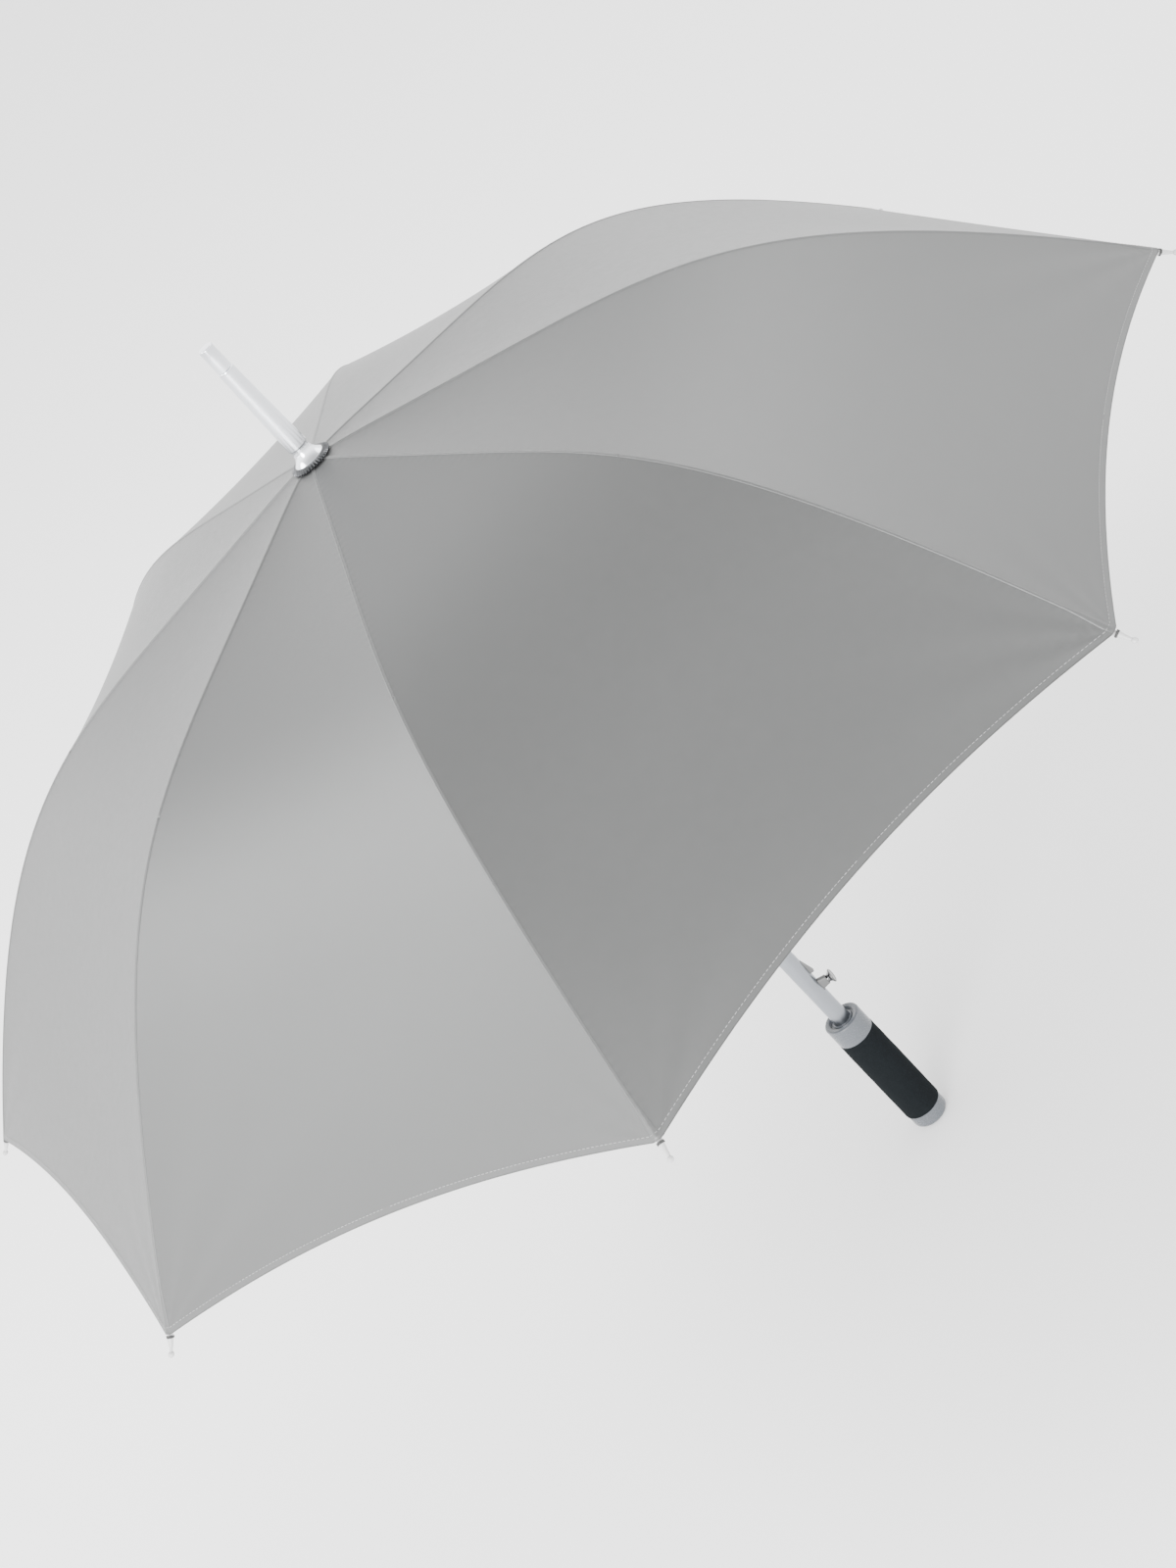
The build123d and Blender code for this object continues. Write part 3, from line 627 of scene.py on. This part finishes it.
def strip_faces(rows, columns, side):
    """Faces of two grids, one over the other: the outer face, the inner face and the band round the edge."""
    count = rows * columns
    index = np.arange(count).reshape(rows, columns)
    rim = np.concatenate((index[0, :], index[1:, -1], index[-1, -2::-1], index[-2:0:-1, 0]))
    rim_next = np.roll(rim, -1)
    band = np.stack((rim_next, rim, rim + count, rim_next + count), axis=-1)
    top = grid_faces(rows, columns)
    under = top[:, ::-1] + count
    if side > 0:
        return top[:, ::-1], under[:, ::-1], band[:, ::-1]
    return top, under, band


def cut_size(run):
    """Width, length and area of a strip as it was cut: the gore's half width along the seam line."""
    first, last = float(run[0, 0]), float(run[-1, 0])
    length = last - first
    widest = float(seam(np.array(last))[0]) * math.sin(half_gore)
    area = float(seam(np.linspace(first, last, 200))[0].mean() * math.sin(half_gore) * length)
    return widest, length, area


def cloth_strip(rib, side, part, sewn_on):
    """Half a gore beside one rib, inside or outside the elbow: an outer and an inner face a cloth's thickness
    apart, closed round the edge, with the hem's turned-up fold as a small step."""
    run = cloth_rows(part, strip_across)
    grid = np.broadcast_to(strip_across[None, :], run.shape)
    to_hem = hem_run(grid) - run
    fold = hem_lift * (1 - smooth(0.9 * hem_fold, 1.1 * hem_fold, to_hem)) if part == "outer" else 0 * run
    normal = cloth_normal(run, grid, side)
    outer = cloth_point(run, grid, side, fold * smooth(-0.0002, 0.0006, to_hem))
    inner = cloth_point(run, grid, side) - normal * (cloth_thickness + fold)[..., None]
    points = placed(np.concatenate((outer, inner)), rib)
    top, under, band = strip_faces(*run.shape, side)
    outwards = placed(normal, rib)
    corner_normals = np.concatenate((outwards[top.ravel()], -outwards[under.ravel() - run.size],
                                     np.zeros((band.size, 3))))
    full_width = seam(run)[0] * math.sin(half_gore)
    width = grid * full_width
    weave = np.stack((side * (full_width - width), run), axis=-1).reshape(-1, 2)
    edges = np.stack((width, to_hem), axis=-1).reshape(-1, 2)
    maps = (("weave", np.concatenate((weave, weave))), ("edges", np.concatenate((edges, edges))))
    slots = np.repeat((0, 1, 0), (len(top), len(under), len(band)))
    made = piece(f"cloth_{part}_{rib}_{hand(side)}", points, np.concatenate((top, under, band)),
                 (cloth_outside, cloth_inside), f"rib_{part}_{rib}", maps, corner_normals,
                 slots)
    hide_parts(f"canopy_panel_{rib if side > 0 else (rib - 2) % gore_count + 1}")
    widest, length, area = cut_size(run)
    gather(made, rib, side, part)
    return made


def gather(made, rib, side, part):
    """Works out, at this rib, the line across the gore along which the cloth would draw on to its own rib as
    the ribs fold in, and its middle, though nothing uses them; the piece then gets its own copy of its mesh.
    """
    (r_a, z_a), (r_b, z_b) = chord[part]
    slope = math.atan2(z_a - z_b, r_b - r_a)
    across = np.array((-math.sin(half_gore) * math.sin(slope) * math.sin(slope),
                       side * math.cos(half_gore),
                       -math.sin(half_gore) * math.sin(slope) * math.cos(slope)))
    anchor = np.array(((r_a + r_b) / 2, 0.0, (z_a + z_b) / 2))
    tuple(turned_to(across, rib_angle(rib)))
    tuple(turned_to(anchor, rib_angle(rib)))
    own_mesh(made)


ridge_rows = 150
ridge_place = np.linspace(-1.0, 1.0, 25)
ditch_half = 0.16
# Distance from the hem that the ridge's cloth is given, so that it is neither doubled nor darkened by the
# hem's painted shade
ridge_from_hem = 0.004


def seam_ridge(rib, part):
    """The sewn seam over a rib: two soft lips with a ditch between them, carried along the seam line. Each
    lip's height falls with the 6th power of its distance from the middle, and the ditch is a bell curve."""
    inner_end = (cloth_hole - canopy_flat, elbow_run)
    outer_end = (elbow_run, seam_length - corner_blunt)
    run = np.linspace(*(inner_end if part == "inner" else outer_end), ridge_rows)
    radius, height = seam(run)
    out, up = seam_slope(run)
    level = 0 * run
    path = np.stack((radius, level, height), axis=-1)
    side = np.stack((level, level + 1, level), axis=-1)
    above = np.stack((-up, level, out), axis=-1)
    spill = smooth(seam_length - corner_reach, seam_length - corner_blunt, run)[:, None]
    half = ridge_half * (1 + corner_spread * spill)
    ditch = (0.95 - 0.6 * spill) * np.exp(-((ridge_place / ditch_half) ** 2))
    lips = ridge_height * (1 - ridge_place**6 - ditch)
    spread = ridge_place * half * math.cos(half_gore)
    drop = np.abs(ridge_place) * half * math.sin(half_gore) * -up[:, None]
    top = np.stack((spread, lips - drop), axis=-1)
    under = np.stack((spread, -drop - 2 * cloth_thickness), axis=-1)[:, ::-1]
    rings = carried(path, side, above, np.concatenate((top, under), axis=1))
    rows, columns = rings.shape[:2]
    over = np.tile(np.concatenate((ridge_place, ridge_place[::-1])) * ridge_half, rows)
    along = np.repeat(np.concatenate((run[:1], run, run[-1:])), columns)
    from_edges = np.full((rows * columns, 2), ridge_from_hem)
    maps = (("weave", np.stack((over, along), axis=-1)), ("edges", from_edges))
    made = piece(f"seam_{part}_{rib}", placed(rings, rib), grid_faces(rows, columns, wrap=True),
                 cloth_outside, f"rib_{part}_{rib}", maps)
    return welded(made)


def stitches(name, centres, directions, normals, material, body):
    """A row of stitches, each a small spindle of thread that lies along its direction: four rings of six
    points, the outer two drawn in to a point."""
    sides = 6
    share_along = np.array((-0.5, -0.32, 0.32, 0.5)) * stitch_length
    fat = np.array((0.0, 1.0, 1.0, 0.0)) * stitch_radius
    turn = np.arange(sides) * 2 * math.pi / sides
    sideways = np.cross(directions, normals)
    ring = (np.cos(turn)[None, :, None] * sideways[:, None, :]
            + np.sin(turn)[None, :, None] * normals[:, None, :])
    rings = (centres[:, None, None, :] + share_along[None, :, None, None] * directions[:, None, None, :]
             + fat[None, :, None, None] * ring[:, None, :, :])
    one = grid_faces(len(fat), sides, wrap=True)
    first = np.arange(len(centres))[:, None, None] * len(fat) * sides
    faces = (one[None, :, :] + first).reshape(-1, 4)
    return welded(piece(name, rings.reshape(-1, 3), faces, material, body))


def hem_stitches(rib, side):
    """The hem's row of stitches beside one rib, a little inside the turned-up edge."""
    span = canopy_radius * math.sin(half_gore)
    count = int(span / stitch_pitch)
    across = (np.arange(count) + 0.5) * stitch_pitch / span
    step = 0.002
    run = hem_run(across) - stitch_inset
    here = cloth_point(run, across, side, hem_lift + stitch_radius * 0.6 + 0 * run)
    ahead = cloth_point(hem_run(across + step) - stitch_inset, across + step, side)
    behind = cloth_point(hem_run(across - step) - stitch_inset, across - step, side)
    direction = ahead - behind
    direction /= np.linalg.norm(direction, axis=-1, keepdims=True)
    normal = cloth_normal(run, across, side)
    made = stitches(f"hem_stitches_{rib}_{hand(side)}", placed(here, rib), placed(direction, rib),
                    placed(normal, rib), pale_thread, f"rib_outer_{rib}")
    gather(made, rib, side, "outer")
    return made


def corner_lines():
    """The seam's end, the direction that the seam ends in and the one that stands up from it there."""
    radius, height = seam(np.array(seam_length))
    out, up = seam_slope(np.array(seam_length))
    ahead = np.array((float(out), 0.0, float(up)))
    above = np.array((-float(up), 0.0, float(out)))
    return np.array((float(radius), 0.0, float(height))), ahead, above


def corner_tie(rib):
    """Thread wound three and a half times round the tip's shank at the cloth's corner: a helix."""
    end, ahead, above = corner_lines()
    angle = np.linspace(0.0, tie_turns * 2 * math.pi, 90)
    middle = end - above * (tip_depth - tip_lift * 0.8) - ahead * 0.0004
    around = np.cos(angle)[:, None] * np.array((0.0, 1.0, 0.0)) + np.sin(angle)[:, None] * above
    climb = angle[:, None] / (2 * math.pi) * tie_pitch
    path = middle + around * (tip_neck + 0.8 * tie_thread) + ahead * climb
    forward = np.gradient(path, axis=0)
    forward /= np.linalg.norm(forward, axis=1, keepdims=True)
    turn = np.arange(8) * math.pi / 4
    circle = np.stack((np.cos(turn), np.sin(turn)), axis=-1) * tie_thread
    rings = carried(path, np.cross(forward, around), around, np.broadcast_to(circle, (len(path), 8, 2)))
    made = piece(f"corner_tie_{rib}", placed(rings, rib), grid_faces(*rings.shape[:2], wrap=True),
                 dark_thread, f"rib_outer_{rib}")
    return welded(made)


# The tip's socket: distances from the cloth's corner along the seam, and half widths there
socket_along = (-0.0140, -0.0139, -0.0136, -0.0130, -0.0040, -0.0022, -0.0008)
socket_half = (0.0016, 0.0020, 0.00222, 0.00226, 0.00226, 0.0021, 0.00185)
socket_flat = 0.91
shank_rows = 14


def rib_tip(rib):
    """A moulded tip: a rounded square socket over the rib, then a thin round shank that bends up a little
    and ends in a ball. Each ring is a superellipse: power 6 on the socket, 2 on the shank."""
    end, ahead, above = corner_lines()
    shank = np.linspace(0.0, tip_reach - 0.0018, shank_rows)
    shank_half = tip_waist + (tip_neck - tip_waist) * np.linspace(1.0, 0.0, shank_rows) ** 1.5
    ball_turn = np.linspace(-0.75, 0.5, 12)[2:] * math.pi
    along = np.concatenate((socket_along, shank, tip_reach + tip_ball * np.sin(ball_turn)))
    half_wide = np.concatenate((socket_half, shank_half, tip_ball * np.cos(ball_turn)))
    half_high = half_wide * np.where(along < -0.0001, socket_flat, 1.0)
    power = np.where(along < -0.003, 6.0, 2.0)[:, None]
    profile = superellipse(full_turn(24), power, half_wide, half_high)
    bend = tip_bend * np.maximum(along, 0.0) ** 2 / tip_reach + tip_lift * smooth(-0.004, 0.002, along)
    path = end - above * tip_depth + along[:, None] * ahead + bend[:, None] * above
    side = np.broadcast_to(np.array((0.0, 1.0, 0.0)), path.shape)
    rings = carried(path, side, np.broadcast_to(above, path.shape), profile)
    made = piece(f"tip_{rib}", placed(rings, rib), grid_faces(*rings.shape[:2], wrap=True), pale_plastic,
                 f"rib_outer_{rib}")
    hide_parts(f"rib_tip_{rib}")
    return welded(made)


for rib in range(1, gore_count + 1):
    rib_tip(rib)
    tie = corner_tie(rib)
    for side in (1, -1):
        stitching = hem_stitches(rib, side)
        if side > 0:
            cloth_strip(rib, side, "inner", [seam_ridge(rib, "inner")])
            cloth_strip(rib, side, "outer", [seam_ridge(rib, "outer"), stitching, tie])
        else:
            cloth_strip(rib, side, "inner", [])
            cloth_strip(rib, side, "outer", [stitching])


# ---- Ferrule and its toothed washer ----

ferrule_low, ferrule_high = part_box("ferrule")
ferrule_cap_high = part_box("ferrule_cap")[1].z
washer_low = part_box("serrated_washer")[0]
foot = ferrule_low.z
shoulder = ferrule_high.z
# Radii of the ferrule, and heights over its foot
socket_radius = 0.00705
socket_depth = 0.009
foot_radius = 0.0118
flare_radius = 0.0120
flare_narrowing = 0.0053
flare_power = 2.6
flare_start = 0.0016
flare_height = 0.0112
bead = ((0.0067, 0.0130), (0.0073, 0.0131), (0.0076, 0.0134), (0.00766, 0.0138))
tube_radius = 0.00765
tube_narrowing = 0.00145
tube_start = 0.0142
tube_edge = 0.0008
crimp_inside = 0.0062
crimp_radius = 0.0072
crimp_depth = 0.0009
crimp_half_wide = 0.0016
crimp_half_tall = 0.0021
tooth_count = 40
tooth_reach = 0.0006
tooth_rise = 0.0007
tooth_foot = 0.0118
tooth_length = 0.0036


def closed(outline):
    """An outline that comes back to its first point."""
    return np.concatenate((outline, outline[:1]))


def ferrule_outline():
    """The ferrule from the roof of its socket: down the bore, out along the foot, in along a flare that is a
    power curve, round a bead and up a tube that narrows evenly."""
    share = np.linspace(0.0, 1.0, 16)
    flare = np.stack((flare_radius - flare_narrowing * (1 - (1 - share) ** flare_power),
                      foot + flare_start + flare_height * share), axis=-1)
    share = np.linspace(0.0, 1.0, 60)
    tube = np.stack((tube_radius - tube_narrowing * share,
                     np.linspace(foot + tube_start, shoulder - tube_edge, 60)), axis=-1)
    socket = ((0.0, foot + socket_depth), (socket_radius, foot + socket_depth), (socket_radius, foot),
              (foot_radius, foot))
    end = ((0.0061, shoulder - 0.0002), (0.0059, shoulder), (0.0, shoulder))
    return np.concatenate((socket, flare, [(radius, foot + height) for radius, height in bead], tube, end))


def crimped(radius, height, angle):
    """A punched crimp in the tube just above the flare: a square-edged dent on the button's side, whose edges
    fall with the 6th power."""
    away = np.angle(np.exp(1j * (angle - crimp_angle)))
    wide = np.exp(-((away * crimp_radius / crimp_half_wide) ** 6))
    tall = np.exp(-(((height - crimp_height) / crimp_half_tall) ** 6))
    outside = radius > crimp_inside
    return radius - np.where(outside, crimp_depth * wide * tall, 0.0), height


def toothed(radius, height, angle):
    """Pressed teeth: ridges that rise and reach out towards the rim as a cosine round it."""
    tooth = np.cos(tooth_count * angle)
    share = np.clip((radius - tooth_foot) / tooth_length, 0.0, 1.0)
    return radius + tooth_reach * tooth * share, height + tooth_rise * tooth * share


ferrule = lathe("ferrule_tube", ferrule_outline(), bright_metal, "shaft", 128, crimped)
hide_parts("ferrule")
ferrule_cap_foot = shoulder + 0.0001
ferrule_cap_outline = rounded((
    (0.0, ferrule_cap_foot, 0.0), (0.0057, ferrule_cap_foot, 0.0003),
    (0.00555, ferrule_cap_high, 0.0006), (0.0, ferrule_cap_high, 0.0)))
ferrule_end = lathe("ferrule_end_cap", ferrule_cap_outline, bright_metal, "shaft")
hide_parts("ferrule_cap")
ring_foot = washer_low.z
ring_step = ring_foot + 0.0016
ring_crest = ring_foot + 0.0034
ring_outline = rounded((
    (0.0072, ring_step, 0.0), (0.0072, ring_foot, 0.0), (0.0152, ring_foot, 0.0002),
    (0.0156, ring_foot + 0.0008, 0.0003), (0.0128, ring_crest, 0.0006), (0.0113, ring_crest, 0.0003),
    (0.0110, ring_step, 0.0)))
ring = lathe("toothed_ring", closed(ring_outline), washer_metal, "shaft", 480, toothed)
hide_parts("serrated_washer")


# ---- Grip ----

collar_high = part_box("grip_collar")[1]
foam_low, foam_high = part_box("foam_grip")
gap = 0.00005
collar_bore = 0.0071
collar_radius = 0.0153
foam_bore = 0.0102
foam_middle = 0.012
foam_radius = foam_high.x - 0.00015
foam_swelling = 0.00012
foam_wave = 0.00006
cap_radius = 0.0148
collar_foot = foam_high.z + gap
collar_top = collar_high.z
collar_groove = collar_top - 0.0022
collar_neck = collar_top - 0.0011
collar_outline = rounded((
    (collar_bore, collar_foot, 0.0), (collar_radius, collar_foot, 0.0003),
    (collar_radius, collar_top, 0.0013), (0.0112, collar_top - 0.0002, 0.0004),
    (0.0108, collar_groove, 0.0004), (0.0088, collar_groove, 0.0003),
    (0.0086, collar_neck, 0.0003), (collar_bore, collar_neck, 0.0)))
collar = lathe("grip_collar_shell", closed(collar_outline), grip_plastic, "shaft")
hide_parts("grip_collar")


def swollen(radius, height, angle):
    """The foam is tightest at its ends and swells by a sine between them, with faint waves."""
    share = (height - foam_low.z) / (foam_high.z - foam_low.z)
    wave = foam_wave * np.sin(9 * share * math.pi) * np.cos(2 * angle + 3 * share)
    outside = radius > foam_middle
    return radius + np.where(outside, foam_swelling * np.sin(share * math.pi) + wave, 0.0), height


def foam_outline():
    """The sleeve: its bore, a round lower edge, its side in many short runs and a round top edge."""
    low, high = foam_low.z, foam_high.z
    foot_edge = rounded(((foam_bore, low, 0.0), (foam_radius, low, 0.0012), (foam_radius, high, 0.0)))[1:-1]
    top_edge = rounded(((foam_radius, low, 0.0), (foam_radius, high, 0.0008), (foam_bore, high, 0.0)))[1:-1]
    side = np.stack((np.full(40, foam_radius), np.linspace(low + 0.0016, high - 0.0014, 40)), axis=-1)
    bore = ((foam_bore, high - 0.00002), (foam_bore, low + 0.00002))
    return np.concatenate((bore, foot_edge, side, top_edge))


foam = lathe("foam_sleeve", closed(foam_outline()), foam_skin, "shaft", 96, swollen)
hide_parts("foam_grip")
end_cap_top = foam_low.z - gap
end_cap_outline = rounded(((0.0, 0.0, 0.0), (cap_radius, 0.0, 0.0042), (cap_radius, end_cap_top, 0.0003),
                           (0.0, end_cap_top, 0.0)))
end_cap = lathe("grip_end_cap", end_cap_outline, grip_plastic, "shaft")
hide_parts("end_cap")


# ---- Push button ----

button_low, button_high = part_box("button_cap")
stem_low, stem_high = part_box("push_button")
button_z = (button_low.z + button_high.z) / 2
stem_half = 0.0049
stem_narrowing = 0.0011
stem_power = 5
horn_radius = 0.0031


def button_stem():
    """The stem: superellipse rings of power 5 whose height narrows by a cosine towards the cap."""
    share = np.linspace(0.0, 1.0, 24)
    narrow = 0.5 - 0.5 * np.cos(share * math.pi)
    half_high = stem_half - stem_narrowing * narrow
    half_wide = stem_high.y - gap - 0.0001 * narrow
    profile = superellipse(full_turn(48), stem_power, half_wide, half_high)
    out = stem_low.x + (stem_high.x - stem_low.x) * share
    path = np.stack((out, 0 * share, button_z + 0 * share), axis=-1)
    side = np.broadcast_to(np.array((0.0, 1.0, 0.0)), path.shape)
    above = np.broadcast_to(np.array((0.0, 0.0, 1.0)), path.shape)
    rings = carried(path, side, above, profile)
    made = piece("button_stem", rings.reshape(-1, 3), grid_faces(*rings.shape[:2], wrap=True), grey_plastic,
                 "latch")
    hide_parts("push_button")
    return welded(made)


def button_head():
    """The flared chrome cap: a waist, a trumpet mouth that is a power curve, and a dished face, turned about
    its own axis along X."""
    reach = button_high.x - button_low.x
    rim = button_high.z - button_z
    mouth = rim - 0.0002
    share = np.linspace(0.0, 1.0, 14)
    horn = np.stack((horn_radius + (mouth - horn_radius) * share**2.2, 0.0002 + (reach - 0.0013) * share),
                    axis=-1)
    edge = rounded(((mouth, reach - 0.0011, 0.0), (rim, reach - 0.0005, 0.00025),
                    (rim - 0.0008, reach, 0.0003), (rim - 0.0022, reach - 0.0004, 0.0)))[1:]
    dish = ((0.0022, reach - 0.0002), (0.0, reach - 0.0001))
    outline = np.concatenate((((0.0, 0.0), (0.0029, 0.0)), horn, edge, dish))
    angle = full_turn(72)
    radius, height = outline[:, :1], outline[:, 1:] + 0 * angle
    points = np.stack((button_low.x + height, radius * np.cos(angle), button_z + radius * np.sin(angle)),
                      axis=-1)
    made = piece("button_head", points.reshape(-1, 3), grid_faces(*height.shape, wrap=True), chrome,
                 "latch")
    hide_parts("button_cap")
    return welded(made)


button_stem()
button_head()


# ---- CAD pieces keep their shape and take their finish ----

# The finish of each kind of node, whose name is the node's without its number
finishes = {
    "shaft_tube": shaft_metal, "shaft_pins": wire_metal, "ferrule": bright_metal, "ferrule_cap": bright_metal,
    "serrated_washer": washer_metal, "crown": notch_plastic, "crown_wire": wire_metal,
    "stop_ring": wire_metal, "main_spring": wire_metal, "grip_collar": grip_plastic, "foam_grip": foam_skin,
    "end_cap": grip_plastic, "latch_spring": wire_metal, "latch_bar": rib_metal,
    "hold_down_catch": grey_plastic, "push_button": grey_plastic, "button_cap": chrome,
    "runner": notch_plastic, "runner_wire": wire_metal, "spring_carrier": notch_plastic,
    "rib_inner": rib_metal, "rib_outer": rib_metal, "stretcher": rib_metal, "rib_tip": pale_plastic,
    "canopy_panel": cloth_outside,
}
for name, node in nodes.items():
    kind = name.rstrip("0123456789").rstrip("_")
    node.data.materials.clear()
    node.data.materials.append(finishes[kind])


# ---- Floor and light ----

floor_half = 30.0
light_aim = Vector((0.0, 0.0, 0.6))
horizon_light = 4.4
zenith_light = 1.25
sky_lean = 0.45


def sky():
    """A pale sky, strongest near the horizon, and a little stronger on the left than on the right."""
    world = bpy.data.worlds.new("sky")
    world.use_nodes = True
    wiring = Wiring(world.node_tree, "Background")
    wiring.last.inputs["Color"].default_value = grey(1.0)
    where = wiring.add("ShaderNodeTexCoord", output="Generated")
    up = wiring.add("ShaderNodeSeparateXYZ", None, {0: where}, 2)
    sideways = wiring.add("ShaderNodeSeparateXYZ", None, {0: where}, 0)
    high = wiring.ramp(up, 0.25, 1.0)
    wiring.feed("Strength", horizon_light - high * (horizon_light - zenith_light) - sideways * sky_lean)
    bpy.context.scene.world = world


def floor():
    """A pale floor with faint broad patches."""
    mesh = bpy.data.meshes.new("floor")
    mesh.from_pydata([(x * floor_half, y * floor_half, 0) for x, y in ((-1, -1), (1, -1), (1, 1), (-1, 1))],
                     [], [(0, 1, 2, 3)])
    ground = bpy.data.objects.new("floor", mesh)
    bpy.context.scene.collection.objects.link(ground)
    finish = Finish("pale_floor", roughness=0.9, specular_ior_level=0.1)
    finish.feed("Base Color", finish.mix(finish.noise(finish.place(), 0.8, 2.0), grey(0.93), grey(0.95)))
    mesh.materials.append(finish.material)


def lamp(name, direction, distance, size, power):
    """A round soft lamp in a direction from the point that it is turned towards."""
    data = bpy.data.lights.new(name, "AREA")
    data.shape = "DISK"
    data.size = size
    data.energy = power
    made = bpy.data.objects.new(name, data)
    bpy.context.scene.collection.objects.link(made)
    made.location = light_aim + Vector(direction).normalized() * distance
    made.rotation_mode = "QUATERNION"
    made.rotation_quaternion = (light_aim - made.location).to_track_quat("-Z", "Y")


sky()
floor()
lamp("left_lamp", (-0.68, 0.0, 0.73), 3.0, 1.6, 88.0)
lamp("back_lamp", (0.55, 0.55, 0.62), 3.2, 2.0, 38.0)
lamp("front_lamp", (-0.30, -0.92, 0.22), 3.4, 2.0, 190.0)
